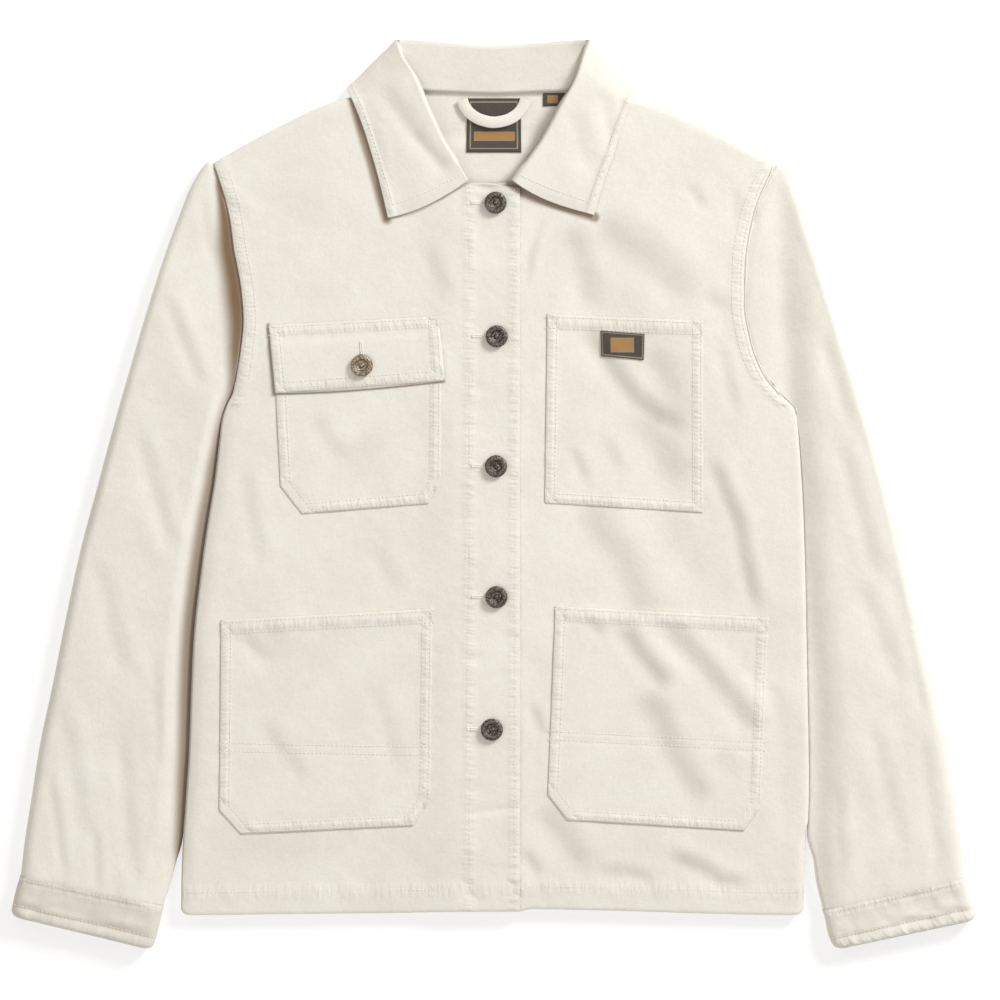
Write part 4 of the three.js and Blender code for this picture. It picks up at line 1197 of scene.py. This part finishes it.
right_top_line = Curve(TOP_RIGHT["x"], TOP_RIGHT["y"])
left_top_line = Curve(TOP_LEFT["x"], TOP_LEFT["y"])


def below_collar(x, y):
    """Top of the fronts where they lie under the collar, and far below beyond their edges."""
    on_right = x < CENTRE_EDGE_RIGHT
    top_y = np.where(on_right, right_top_line(x), left_top_line(x))
    high = np.where(on_right, right_top(x, y), left_top(x, y))
    past_neck = np.abs(x) > 83
    rolled = lerp(SIDE_SEAM_Z, high, roll((top_y - y) * SHOULDER_COSINE / SIDE_ROLL))
    return np.where(y > top_y + 1, -99, np.where(past_neck, rolled, high))


def collar_grid():
    """The collar's underside from the neck seam over the roll to the edge, its ply and paint."""
    marks = np.arange(COLLAR_END + 1)
    ends = [0, 0.03, 0.08, 0.15, 0.24]
    t = np.concatenate([ends, np.linspace(0.34, 17.66, 190), [COLLAR_END - e for e in reversed(ends)]])
    c = {name: Curve(marks, COLLAR[name])(t)[:, None] for name in COLLAR}
    inner_t = np.linspace(0, 1, 16)[None, :-1]
    outer_t = np.concatenate([[0, 0.015, 0.035, 0.06, 0.09], np.linspace(0.12, 0.96, 34),
                              [0.975, 0.988, 1]])[None, :]
    inner = [lerp(c["n" + k], c["r" + k], inner_t) for k in "xyz"]
    x, y = (lerp(c["r" + k], c["e" + k], outer_t) for k in "xy")
    from_end = np.minimum(t, COLLAR_END - t)[:, None]
    on_right = t[:, None] < COLLAR_END / 2
    bow = np.where(on_right, WING_BOW_RIGHT, WING_BOW_LEFT) * np.maximum(1 - from_end, 0) ** 2
    y = y - bow * 4 * outer_t * (1 - outer_t) * np.where(on_right, 1, 1.4 - 0.8 * outer_t)
    fall = lerp(c["ez"], c["rz"], (1 - outer_t) ** c["fall"])
    wing = smooth(t[:, None] * 4) * smooth((COLLAR_END - t[:, None]) * 4)
    on_top = smooth((5 - from_end) / 1.5)
    shape = on_top * (
        folded(COLLAR_CREASES, x, y) + 0.4 * waves(x, y, 30, 26, 81)
        + 0.12 * waves(x, y, 9, 9, 82)
    )
    edge_bow = on_top * wing * 0.9 * bell((outer_t - 0.55) / 0.35)
    stitched = -0.22 * on_top * bell((outer_t - 0.885) / 0.022)
    rim = on_top * 0.35 * bell((outer_t - 0.94) / 0.03) * waves(t[:, None] * 24, outer_t, 9, 1, 83)
    fall = np.maximum(fall + shape + edge_bow + stitched + rim, below_collar(x, y) + 0.4)
    grids = [np.concatenate([a, b], axis=1) for a, b in zip(inner, [x, y, fall])]
    ply = np.broadcast_to(lerp(COLLAR_PLY, COLLAR_EDGE_PLY, smooth((outer_t - 0.5) / 0.45)), x.shape)
    ply = np.concatenate([np.full(inner[0].shape, COLLAR_PLY), ply], axis=1)
    # The roll that faces away from the light gets a thin line of painted warm shade on both sides of
    # the fold, the lit roll a fainter one, and the creases a faint painted shade.
    away_side = smooth((t[:, None] - 10.5) / 1.5)
    crease = to_line(x, y, [(-88, 318), (-62, 286), (-36, 259)])[0]
    lit_side = 1 - smooth((t[:, None] - 7) / 1.5)
    paint = 0.07 * bell(crease / 4) + 0.4 * away_side * bell(outer_t / 0.03)
    paint = paint + 0.05 * lit_side * bell(outer_t / 0.06)
    inner_paint = away_side * 0.5 * bell((1 - inner_t) / 0.25)
    paint = np.concatenate([inner_paint, paint], axis=1)
    band = on_top * bell((outer_t - 0.93) / 0.05)
    band = np.concatenate([np.zeros(inner[0].shape), band + 0 * x], axis=1)
    return np.stack(grids, axis=-1), ply, {"paint": paint, "ladder": -band}


collar_under, collar_ply, collar_marks = collar_grid()
collar_over = offset(collar_under, -collar_ply)
collar = shell("collar_cloth", collar_over, collar_under, CANVAS, paint=collar_marks)
finished(collar, "collar", (0.44, 0.10))

# What lies on a panel: made from the panel's own surface, moved up.
POCKET_LIFT = 0.12
POCKET_PLY = 0.85
# The flap's lower edge: its height in plan at its left end, and its slope
FLAP_EDGE_Y = 79.3
FLAP_EDGE_SLOPE = 0.0743
UNDER_FLAP = 1.45
FLAP_BOW = 1.8
# How far below a pocket's opening its hem is stitched
HEM_STITCH = 11


def patch_grid(piece, step=PANEL_STEP):
    """Rows from the bottom up between a piece's two side paths, and distances to its edges."""
    first, second = (np.asarray(p, float) for p in piece)
    corner = np.linalg.norm(first[1] - first[0])
    height = np.linalg.norm(first[2] - first[1])
    width = np.linalg.norm(second[1] - first[1])
    low = np.linspace(0, 1, max(3, int(corner / step) + 2))[:-1]
    rest = 1 + from_edges(height, step, close=(0.4, 1, 1.8, 3))
    v = np.concatenate([low, rest])
    marks = [0, 1, 2]
    ends = [np.stack([np.interp(v, marks, p[:, k]) for k in (0, 1)], axis=-1) for p in (first, second)]
    s = from_edges(width, step, close=(0.4, 1, 1.8, 3))[None, :, None]
    plan = lerp(ends[0][:, None], ends[1][:, None], s)
    x, y = plan[..., 0], plan[..., 1]
    sides, run = to_line(x, y, u_path(piece))
    top, top_run = to_line(x, y, [first[2], second[2]])
    return x, y, sides, run, top, top_run


def patch_marks(piece, x, y, top_band, left_shade=0.6, bottom_shade=0.6):
    """Warm shade and stitch ripples on a patch: shade under its left and bottom edges."""
    first, second = piece
    left = to_line(x, y, [first[2], first[1], first[0]])[0]
    right = to_line(x, y, [second[2], second[1]])[0]
    bottom = to_line(x, y, [first[1], first[0], second[0], second[1]])[0]
    top = to_line(x, y, [first[2], second[2]])[0]
    rim = np.maximum(left_shade * bell(left / 0.6), bottom_shade * bell(bottom / 0.6))
    upright = bell((np.minimum(left, right) - 5) / 3.4)
    across = np.maximum(bell((bottom - 5) / 3.4), bell((top - top_band) / (0.7 * top_band)))
    return {
        "paint": np.minimum(trough_shade(x, y) + rim, 1),
        "ladder": across * (1 - upright) - upright * (1 - across),
    }


def quilted(away, line, depth):
    """The groove that a stitch row sinks into a patch at a distance from its edge."""
    return -depth * bell((away - line) / 1.1)


def pocket(name, node, surface, seed, extra_rows, opening):
    """A patch pocket and its top surface; one without an opening goes in under the flap."""
    x, y, sides, run, top, top_run = patch_grid(POCKETS[node])
    z = surface(x, y) + POCKET_LIFT + POCKET_PLY
    z += quilted(sides, EDGE_ROW, 0.13) + quilted(sides, INNER_ROW, 0.24)
    z += 0.1 * bell((sides - 5) / 2.6) + 0.35 * bell((sides - 4) / 5) * waves(run, sides, 8, 14, seed)
    z += quilted(top, HEM_STITCH, 0.4)
    z += 0.35 * smooth((HEM_STITCH + 1 - top) / 2)
    z += 0.25 * bell((top - 8) / 8) * waves(top_run, top, 9, 16, seed + 1)
    z += 0.22 * waves(x, y, 22, 30, seed + 2)
    for (x0, y0), (x1, y1) in extra_rows:
        away, row_run = to_line(x, y, [(x0, y0), (x1, y1)])
        z += -0.35 * bell(away / 1.2) + 0.25 * bell(away / 7) * waves(row_run, away, 8, 12, seed + 3)
    if opening:
        z += 0.9 * bell(top / 14) * smooth(sides / 26)
    edge = np.minimum(sides, top)
    low = surface(x, y) + POCKET_LIFT
    if not opening:
        past_flap = y - FLAP_EDGE_Y - (x - CHEST_FLAP[0][0][0]) * FLAP_EDGE_SLOPE
        z = lerp(z, low + 0.9, smooth((past_flap + 5) / 3))
    z = np.maximum(z - 0.4 * (1 - roll(edge / 1.1)), low + 0.38)
    outer = np.stack([x, y, z], axis=-1)
    under = np.stack([x, y, np.minimum(low, z - 0.4)], axis=-1)
    marks = patch_marks(POCKETS[node], x, y, 6, 0.5, 0.15)
    return shell(name, outer, under, CANVAS_SHADOWED, paint=marks), outer


LOWER_ROWS_RIGHT = [
    [(-219, -199.5), (-51, -203)],
    [(-219, -206), (-51, -209.5)],
]
LOWER_ROWS_LEFT = [
    [(44, -190), (215.5, -199)],
    [(43.6, -196.5), (215.2, -205.5)],
]
# For each pocket: the front it lies on, that front's surface, its seed, extra stitch rows across
# it, and whether its opening shows
pocket_jobs = {
    "chest_pocket_right": ("front_right", right_top, 100, (), False),
    "chest_pocket_left": ("front_left", left_top, 110, (), True),
    "lower_pocket_right": ("front_right", right_top, 120, LOWER_ROWS_RIGHT, True),
    "lower_pocket_left": ("front_left", left_top, 130, LOWER_ROWS_LEFT, True),
}
pocket_tops = {}
for node, (carrier, surface, seed, rows, opening) in pocket_jobs.items():
    made, outer = pocket(node + "_cloth", node, surface, seed, rows, opening)
    pocket_tops[node] = outer
    span = outer[..., 0].max() - outer[..., 0].min(), outer[..., 1].max() - outer[..., 1].min()
    finished(made, node, (span[0] * MM + 0.004, span[1] * MM + 0.004))


def flap():
    """The buttoned flap and its top surface."""
    x, y, sides, run, top, top_run = patch_grid(CHEST_FLAP)
    edge = np.minimum(sides, top)
    across = (x - CHEST_FLAP[0][0][0]) / (CHEST_FLAP[1][0][0] - CHEST_FLAP[0][0][0])
    y = y - FLAP_BOW * 4 * np.clip(across * (1 - across), 0, 1) * smooth(top / 50)
    base = right_top(x, y) + UNDER_FLAP + 0.8 * smooth((top - 12) / 30) * smooth((sides - 2) / 12)
    base -= 0.9 * smooth((17 - top) / 6)
    z = base + lerp(0.5, 1.4, roll(edge / 1.4))
    z += quilted(sides, EDGE_ROW, 0.13) + quilted(sides, INNER_ROW, 0.26)
    z += quilted(top, EDGE_ROW, 0.3) + quilted(top, INNER_ROW, 0.3)
    z += 0.12 * bell((sides - 5) / 2.6)
    z += 0.35 * bell((sides - 4) / 5) * waves(run, sides, 8, 14, 141)
    z += 0.3 * bell((top - 4) / 6) * waves(top_run, top, 8, 14, 142)
    z += 0.25 * waves(x, y, 24, 18, 143)
    z = np.maximum(z, base + 0.45)
    outer = np.stack([x, y, z], axis=-1)
    under = np.stack([x, y, base], axis=-1)
    marks = patch_marks(CHEST_FLAP, x, y, 5)
    return shell("chest_flap_cloth", outer, under, CANVAS, paint=marks), outer


chest_flap, flap_outer = flap()
finished(chest_flap, "chest_flap", (0.141, 0.056))


def surface_z(grid, x, y):
    """Height of the nearest grid points at a place in plan."""
    away = np.hypot(grid[..., 0] - x, grid[..., 1] - y)
    near = np.argsort(away, axis=None)[:4]
    return float(grid[..., 2].ravel()[near].mean())


def label(name, node, corners, surface, lift, border, bars, sewn_in=0.0):
    """A bare woven label with a thin light border and plain bars, and no lettering."""
    x, y, sides, _, top, _ = patch_grid(corners, step=0.5)
    z = surface(x, y) + lift
    edge = np.minimum(sides, top)
    z = z + 0.8 - 0.35 * (1 - roll(edge / 0.8)) + 0.08 * waves(x, y, 6, 6, 151)
    middle, half = (border[0] + border[1]) / 2, (border[1] - border[0]) / 2
    paint = np.clip(0.5 + (half - np.abs(edge - middle)) / 0.5, 0, 1)
    for x0, y0, x1, y1 in bars:
        inside = np.minimum(np.minimum(x - x0, x1 - x), np.minimum(y - y0, y1 - y))
        paint = np.maximum(paint, 2 * np.clip(0.75 + inside / 0.6, 0, 1))
    outer = np.stack([x, y, z], axis=-1)
    under = np.stack([x, y, z - 0.7], axis=-1)
    made = shell(name, outer, under, LABEL, paint={"paint": paint})
    width = (x.max() - x.min()) * MM
    height = (y.max() - y.min()) * MM
    area = width * height if sewn_in else None
    finished(made, node, (width, height + sewn_in))


def pocket_surface(x, y):
    """The left chest pocket's top, without its own ripples."""
    return left_top(x, y) + POCKET_LIFT + POCKET_PLY + 0.5


def back_surface(x, y):
    """The back's inner side in the neck opening, which the labels lie on."""
    return over_collar(x, y) + CLOTH + neck_rise(x, y)


label("patch_label_cloth", "patch_label", PATCH_LABEL, pocket_surface, 0.1,
      (0.9, 1.7), [(93, 112.5, 111, 123.5)])
NECK_LABEL = ([[-22.4, 272], [-22.2, 290], [-22, 315.4]], [[21.4, 272], [21.2, 290], [21, 315.4]])
SIZE_TAB = ([[38.8, 309], [38.8, 312], [38.8, 319.4]], [[58.6, 309.6], [58.6, 313], [58.6, 319.8]])
label("neck_label_cloth", "neck_label", NECK_LABEL, back_surface, 0.4,
      (2.7, 3.5), [(-16, 281.6, 16, 288.4)])
label("size_tab_cloth", "size_tab", SIZE_TAB, back_surface, 0.4,
      (9, 9.1), [(42.6, 311.8, 50.4, 317.4)], sewn_in=0.006)

# The hanging loop, a flat folded strip.
LOOP_PATH = table("x y z", [
    [-26, 314, 5.4], [-23.5, 308, 5.4], [-18, 302, 5.6], [-10, 297.8, 6.2], [-0.5, 296, 6.4],
    [9, 297.6, 6.2], [17, 301.8, 5.6], [22.5, 308, 5.4], [25, 314, 5.4],
])
LOOP_HALF_WIDTH = 4.6
LOOP_PLY = 1.8


def loop_grid():
    """The loop's top and its underside."""
    t = np.linspace(0, 8, 70)
    x, y, z = (Curve(np.arange(9), LOOP_PATH[k])(t) for k in "xyz")
    dx, dy = np.gradient(x), np.gradient(y)
    size = np.hypot(dx, dy)
    across = np.linspace(-1, 1, 13)[None, :]
    px = x[:, None] - (dy / size)[:, None] * across * LOOP_HALF_WIDTH
    py = y[:, None] + (dx / size)[:, None] * across * LOOP_HALF_WIDTH
    puff = LOOP_PLY * (0.55 + 0.45 * np.sqrt(np.clip(1 - across**2, 0, 1)))
    dent = -0.25 * (bell((across - 0.72) / 0.1) + bell((across + 0.72) / 0.1))
    low = np.stack([px, py, z[:, None] + 0 * px], axis=-1)
    high = np.stack([px, py, z[:, None] + puff + dent + 0 * px], axis=-1)
    return high, low


loop_high, loop_low = loop_grid()
hanger_loop = shell("hanger_loop_cloth", loop_high, loop_low, CANVAS)
finished(hanger_loop, "hanger_loop", (0.0168, 0.067))

# Buttons: turned discs with a raised ring, a sunk middle and a small nib.
BUTTON_PROFILE = table("r z", [
    [0.01, 0], [3.2, 0], [6.6, 0.35], [8.6, 0.9], [9.3, 1.6], [9.5, 2.3], [9.35, 2.9], [8.8, 3.5],
    [7.8, 3.95], [6.9, 4.05], [5.9, 3.9], [5.2, 3.4], [4.7, 2.7], [4.1, 2.2], [3.2, 2.0],
    [2.4, 2.05], [1.9, 2.5], [1.5, 3.0], [0.9, 3.25], [0.01, 3.3],
])
BUTTONS = table("x y", [[0.8, 231.3], [1.8, 124.8], [1.2, 21.3], [1.6, -83], [-2.1, -188.6]])
FLAP_BUTTON = (-105.8, 101.6)
BUTTON_SEAT = 0.3
FLAP_BUTTON_SEAT = 0.2
# A front button sits above the highest cloth within this reach to both sides.
SEAT_REACH = 9
BUTTON_SCALE = 0.93
BUTTON_STEPS = 72


def button(name, node, x, y, z, material, slot):
    """A button turned from BUTTON_PROFILE, that stands for a CAD node."""
    marks = np.arange(len(BUTTON_PROFILE["r"]))
    t = np.linspace(0, marks[-1], 58)
    r, up = Curve(marks, BUTTON_PROFILE["r"])(t), Curve(marks, BUTTON_PROFILE["z"])(t)
    r = r * BUTTON_SCALE
    angles = np.arange(BUTTON_STEPS) * TAU / BUTTON_STEPS
    rings = np.stack([
        x + r[:, None] * np.cos(angles), y + r[:, None] * np.sin(angles),
        z + up[:, None] + 0 * angles,
    ], axis=-1).reshape(-1, 3)
    at = np.arange(len(rings)).reshape(len(t), BUTTON_STEPS)
    at = np.hstack([at, at[:, :1]])
    faces = np.stack([at[:-1, :-1], at[:-1, 1:], at[1:, 1:], at[1:, :-1]], axis=-1)
    faces = [list(map(int, f)) for f in faces.reshape(-1, 4)]
    faces.append([int(k) for k in at[0, :-1][::-1]])
    faces.append([int(k) for k in at[-1, :-1]])
    mesh = bpy.data.meshes.new(name)
    mesh.from_pydata((rings * MM).tolist(), [], faces)
    mesh.materials.append(material)
    mesh.shade_smooth()
    piece = bpy.data.objects.new(name, mesh)
    bpy.context.collection.objects.link(piece)
    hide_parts(node)
    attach(piece, "root")


for i, (x, y) in enumerate(zip(BUTTONS["x"], BUTTONS["y"]), start=1):
    beside = np.array([x - SEAT_REACH, x, x + SEAT_REACH])
    seat = float(right_top(beside, np.array([y, y, y])).max())
    button(f"front_button_{i}_metal", f"front_button_{i}", x, y, seat + BUTTON_SEAT, DARK_METAL,
           "button_metal")
flap_seat = surface_z(flap_outer, *FLAP_BUTTON) + FLAP_BUTTON_SEAT
button("flap_button_metal", "flap_button", *FLAP_BUTTON, flap_seat, PALE_METAL,
       "flap_button_metal")

# Stitches: each seam line as a path of points on the cloth, dressed with stitches by one tree.


def stitch_tree():
    """Sets a small stretched ball at each step of a path, turned along it."""
    tree = bpy.data.node_groups.new("stitches", "GeometryNodeTree")
    face = tree.interface
    face.new_socket(name="Path", in_out="INPUT", socket_type="NodeSocketGeometry")
    for name, value in (("Pitch", STITCH_PITCH), ("Length", STITCH_LENGTH), ("Thickness", STITCH_THICK)):
        made = face.new_socket(name=name, in_out="INPUT", socket_type="NodeSocketFloat")
        made.default_value = value * MM
    made = face.new_socket(name="Seed", in_out="INPUT", socket_type="NodeSocketInt")
    made.default_value = 7
    face.new_socket(name="Thread", in_out="INPUT", socket_type="NodeSocketMaterial")
    face.new_socket(name="Stitches", in_out="OUTPUT", socket_type="NodeSocketGeometry")

    def add(kind, inputs, **settings):
        """Adds a node, makes its settings, links or sets its inputs and gives its outputs."""
        node = tree.nodes.new(kind)
        for key, value in settings.items():
            setattr(node, key, value)
        for key, value in inputs.items():
            if isinstance(value, bpy.types.NodeSocket):
                tree.links.new(value, node.inputs[key])
            else:
                node.inputs[key].default_value = value
        return node.outputs

    source = add("NodeGroupInput", {})
    line = add("GeometryNodeMeshToCurve", {"Mesh": source["Path"]})
    even = add("GeometryNodeResampleCurve", {"Curve": line[0], "Length": source["Pitch"]}, mode="LENGTH")
    ball = add("GeometryNodeMeshUVSphere", {"Segments": 6, "Rings": 4, "Radius": 0.5})
    tangent = add("GeometryNodeInputTangent", {})
    turn = add("FunctionNodeAlignRotationToVector", {"Vector": tangent[0]}, axis="X")
    vary = add("FunctionNodeRandomValue", {2: 0.88, 3: 1.08, "Seed": source["Seed"]}, data_type="FLOAT")
    long = add("ShaderNodeMath", {0: source["Length"], 1: vary[1]}, operation="MULTIPLY")
    scale = add("ShaderNodeCombineXYZ", {0: long[0], 1: source["Thickness"], 2: source["Thickness"]})
    place = add("GeometryNodeInstanceOnPoints", {
        "Points": even[0], "Instance": ball["Mesh"], "Rotation": turn[0], "Scale": scale[0],
    })
    real = add("GeometryNodeRealizeInstances", {0: place[0]})
    colour = add("GeometryNodeSetMaterial", {"Geometry": real[0], "Material": source["Thread"]})
    add("NodeGroupOutput", {0: colour[0]})
    return tree


STITCH_TREE = stitch_tree()


def stitches(name, paths):
    """One object of real stitches along all the given paths."""
    points, edges = [], []
    for path in paths:
        start = len(points)
        points += (np.asarray(path) * MM).tolist()
        edges += [(k, k + 1) for k in range(start, len(points) - 1)]
    mesh = bpy.data.meshes.new(name + "_path")
    mesh.from_pydata(points, edges, [])
    carrier = bpy.data.objects.new(name + "_path", mesh)
    bpy.context.collection.objects.link(carrier)
    modifier = carrier.modifiers.new("stitches", "NODES")
    modifier.node_group = STITCH_TREE
    for item in STITCH_TREE.interface.items_tree:
        if item.name == "Thread":
            modifier[item.identifier] = THREAD
    graph = bpy.context.evaluated_depsgraph_get()
    made = bpy.data.meshes.new_from_object(carrier.evaluated_get(graph))
    carrier.modifiers.clear()
    bpy.data.objects.remove(carrier)
    made.name = name
    piece = bpy.data.objects.new(name, made)
    bpy.context.collection.objects.link(piece)
    made.shade_smooth()
    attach(piece, "root")


PATH_STEP = 1.2
ARMHOLE_LIFT = 0.1
CUFF_LIFT = 0.2
COLLAR_LIFT = 0.15


def plan_path(surface, points):
    """A path over a surface through corners given in plan."""
    points = np.asarray(points, float)
    out = []
    for a, b in zip(points[:-1], points[1:]):
        n = max(2, int(np.hypot(*(b - a)) / PATH_STEP))
        out.append(lerp(a, b, np.linspace(0, 1, n, endpoint=False)[:, None]))
    plan = np.vstack(out + [points[-1:]])
    z = surface(plan[:, 0], plan[:, 1]) + THREAD_LIFT
    return np.column_stack([plan, z])


def inset(path, distance):
    """A path moved to its left by a distance, mitred at its corners."""
    path = np.asarray(path, float)
    steps = np.diff(path, axis=0)
    sides = np.stack([-steps[:, 1], steps[:, 0]], axis=-1)
    sides /= np.linalg.norm(sides, axis=1, keepdims=True)
    out = [path[0] + sides[0] * distance]
    for k in range(1, len(path) - 1):
        mean = sides[k - 1] + sides[k]
        mean /= np.linalg.norm(mean)
        out.append(path[k] + mean * distance / max(0.35, float(mean @ sides[k])))
    out.append(path[-1] + sides[-1] * distance)
    return np.array(out)


def nearest_height(grid):
    """A surface function that reads a grid's height by its nearest points."""
    flat = grid.reshape(-1, 3)
    tree = kdtree.KDTree(len(flat))
    for k, (x, y, _z) in enumerate(flat):
        tree.insert((x, y, 0), k)
    tree.balance()

    def read(xs, ys):
        heights = []
        for x, y in zip(np.ravel(xs), np.ravel(ys)):
            found = tree.find_n((x, y, 0), 3)
            weights = [1 / (0.05 + d) for _p, _k, d in found]
            near = sum(flat[k][2] * w for (_p, k, _d), w in zip(found, weights))
            heights.append(near / sum(weights))
        return np.array(heights)

    return read


for node, (_, _, _, rows, opening) in pocket_jobs.items():
    on_pocket = nearest_height(pocket_tops[node])
    first, second = POCKETS[node]
    lines = [inset(u_path(POCKETS[node]), d) for d in (EDGE_ROW, INNER_ROW)]
    if opening:
        lines += [inset([first[2], second[2]], -d) for d in (HEM_STITCH, 2.0)]
    lines += list(rows)
    stitches(node + "_stitches", [plan_path(on_pocket, line) for line in lines])

on_flap = nearest_height(flap_outer)
flap_line = [CHEST_FLAP[0][2], CHEST_FLAP[0][0], CHEST_FLAP[1][0], CHEST_FLAP[1][2]]
flap_top = [CHEST_FLAP[1][2], CHEST_FLAP[0][2]]
flap_rows = [inset(line, d) for line in (flap_line, flap_top) for d in (EDGE_ROW, INNER_ROW)]
stitches("chest_flap_stitches", [plan_path(on_flap, row) for row in flap_rows])


def hem_row(x0, x1):
    """The hem's stitch row in plan."""
    x = np.linspace(x0, x1, 30)
    return np.column_stack([x, hem_line(x) + HEM_DEPTH])


right_paths = [
    plan_path(right_top, [(PLACKET_INNER, HEM_Y + HEM_DEPTH), (PLACKET_INNER, 244)]),
    plan_path(right_top, [(PLACKET_OUTER, -331), (PLACKET_OUTER, 242)]),
    plan_path(right_top, hem_row(-245, PLACKET_OUTER)),
]
left_paths = [plan_path(left_top, hem_row(22, 242))]


def armhole_line(edge, side, surface, inward):
    """A stitch row beside the armhole, inward from its edge."""
    y = np.linspace(92, 256, 120)
    x = edge(y) - side * inward
    return np.column_stack([x, y, surface(x, y) + ARMHOLE_LIFT])


for inward in (3.2, 10.2):
    right_paths.append(armhole_line(edge_right, -1, right_top, inward))
    left_paths.append(armhole_line(edge_left, 1, left_top, inward))
stitches("front_right_stitches", right_paths)
stitches("front_left_stitches", left_paths)


# The cuffs' rows run over the part of their rings that lies on top.
for name, grid, sign in (("right", cuff_right_grid, -1), ("left", cuff_left_grid, 1)):
    lifted = offset(grid, np.full(grid.shape[:2], sign * CUFF_LIFT), wraps=True)
    depths = np.linspace(0, 1, grid.shape[0])
    nearest = [int(np.argmin(np.abs(depths - d))) for d in CUFF_ROWS]
    stitches(f"cuff_{name}_stitches", [lifted[row, 1:56] for row in nearest])

# The collar's row runs along the edge of both wings and up both ends.
edge_column = collar_over.shape[1] - 6
collar_lines = offset(collar_over, np.full(collar_over.shape[:2], -COLLAR_LIFT))
WING_ROWS = 62
collar_paths = [
    collar_lines[5:WING_ROWS, edge_column],
    collar_lines[-WING_ROWS:-5, edge_column],
    collar_lines[5, 18:edge_column],
    collar_lines[-6, 18:edge_column],
]
stitches("collar_stitches", collar_paths)

# Buttonholes: a close whipped edge round a slit.
HOLE_HALF_WIDTH = 1.5


def buttonhole(name, x0, y0, x1, y1, surface):
    """A buttonhole on a surface from one place in plan to another."""
    length = math.hypot(x1 - x0, y1 - y0)
    run = np.linspace(-0.5, length + 0.5, 60)[:, None]
    across = np.linspace(-HOLE_HALF_WIDTH, HOLE_HALF_WIDTH, 17)[None, :]
    ux, uy = (x1 - x0) / length, (y1 - y0) / length
    x = x0 + run * ux - across * uy
    y = y0 + run * uy + across * ux
    slit = bell(across / 0.34) * smooth((run - 0.8) / 0.6) * smooth((length - 0.8 - run) / 0.6)
    whip = 0.10 * np.sin(run * TAU / 0.9)
    ends = smooth((run + 0.5) / 0.5) * smooth((length + 0.5 - run) / 0.5)
    sides = smooth((HOLE_HALF_WIDTH - np.abs(across)) / 0.5)
    height = (0.62 + whip) * ends * sides - 0.62 * slit
    base = surface(x, y)
    high = np.stack([x, y, base + 0.1 + height], axis=-1)
    low = np.stack([x, y, base - 0.35 + 0 * height], axis=-1)
    piece = shell(name, high, low, THREAD)
    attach(piece, "root")


for i, (x, y) in enumerate(zip(BUTTONS["x"], BUTTONS["y"]), start=1):
    buttonhole(f"buttonhole_{i}", x - 19.5, y + 0.3, x - 2, y, right_top)
buttonhole("flap_buttonhole", FLAP_BUTTON[0] + 0.4, FLAP_BUTTON[1] + 2, FLAP_BUTTON[0] - 0.5,
           FLAP_BUTTON[1] + 19, lambda x, y: on_flap(x, y).reshape(np.shape(x)))

# Floor, light and camera
FLOOR_HALF = 4000
FLOOR_Z = -0.3
floor_finish = Finish("floor_paint", 0.9)
floor_finish.set("Base Color", (0.45, 0.45, 0.45, 1))
floor_finish.set("Emission Color", (1, 1, 1, 1))
floor_finish.set("Emission Strength", 0.6)
floor_corners = [(-1, -1), (1, -1), (1, 1), (-1, 1)]
floor = make_mesh("floor", [[a * FLOOR_HALF, b * FLOOR_HALF, FLOOR_Z] for a, b in floor_corners],
                  [[0, 1, 2, 3]], floor_finish.material)


def area_light(name, place, size, power):
    """A square lamp at a place in metres, aimed at the origin."""
    lamp = bpy.data.lights.new(name, "AREA")
    lamp.shape = "SQUARE"
    lamp.size = size
    lamp.energy = power
    made = bpy.data.objects.new(name, lamp)
    made.location = place
    made.rotation_euler = (-Vector(place)).to_track_quat("-Z", "Y").to_euler()
    bpy.context.collection.objects.link(made)


area_light("key", (2.4, 2.3, 2.0), 1.1, 118)
area_light("fill", (-1.6, -1.2, 3.2), 3.0, 26)
world = bpy.data.worlds.new("studio")
world.use_nodes = True
sky = world.node_tree.nodes["Background"]
sky.inputs["Color"].default_value = (1, 0.955, 0.9, 1)
sky.inputs["Strength"].default_value = 0.53
bpy.context.scene.world = world
bpy.context.scene.view_settings.view_transform = "Standard"

# The camera looks straight down; the picture's middle lies a little beside the frame's origin.
CAMERA_DISTANCE = 4.2
PICTURE_WIDTH = 0.8
PICTURE_MIDDLE = (0.0044, -0.0056)
SENSOR = 36
camera = bpy.data.cameras.new("camera")
camera.sensor_width = SENSOR
camera.lens = SENSOR * CAMERA_DISTANCE / PICTURE_WIDTH
camera.clip_end = 20
camera_object = bpy.data.objects.new("camera", camera)
camera_object.location = (*PICTURE_MIDDLE, CAMERA_DISTANCE)
bpy.context.collection.objects.link(camera_object)
bpy.context.scene.camera = camera_object
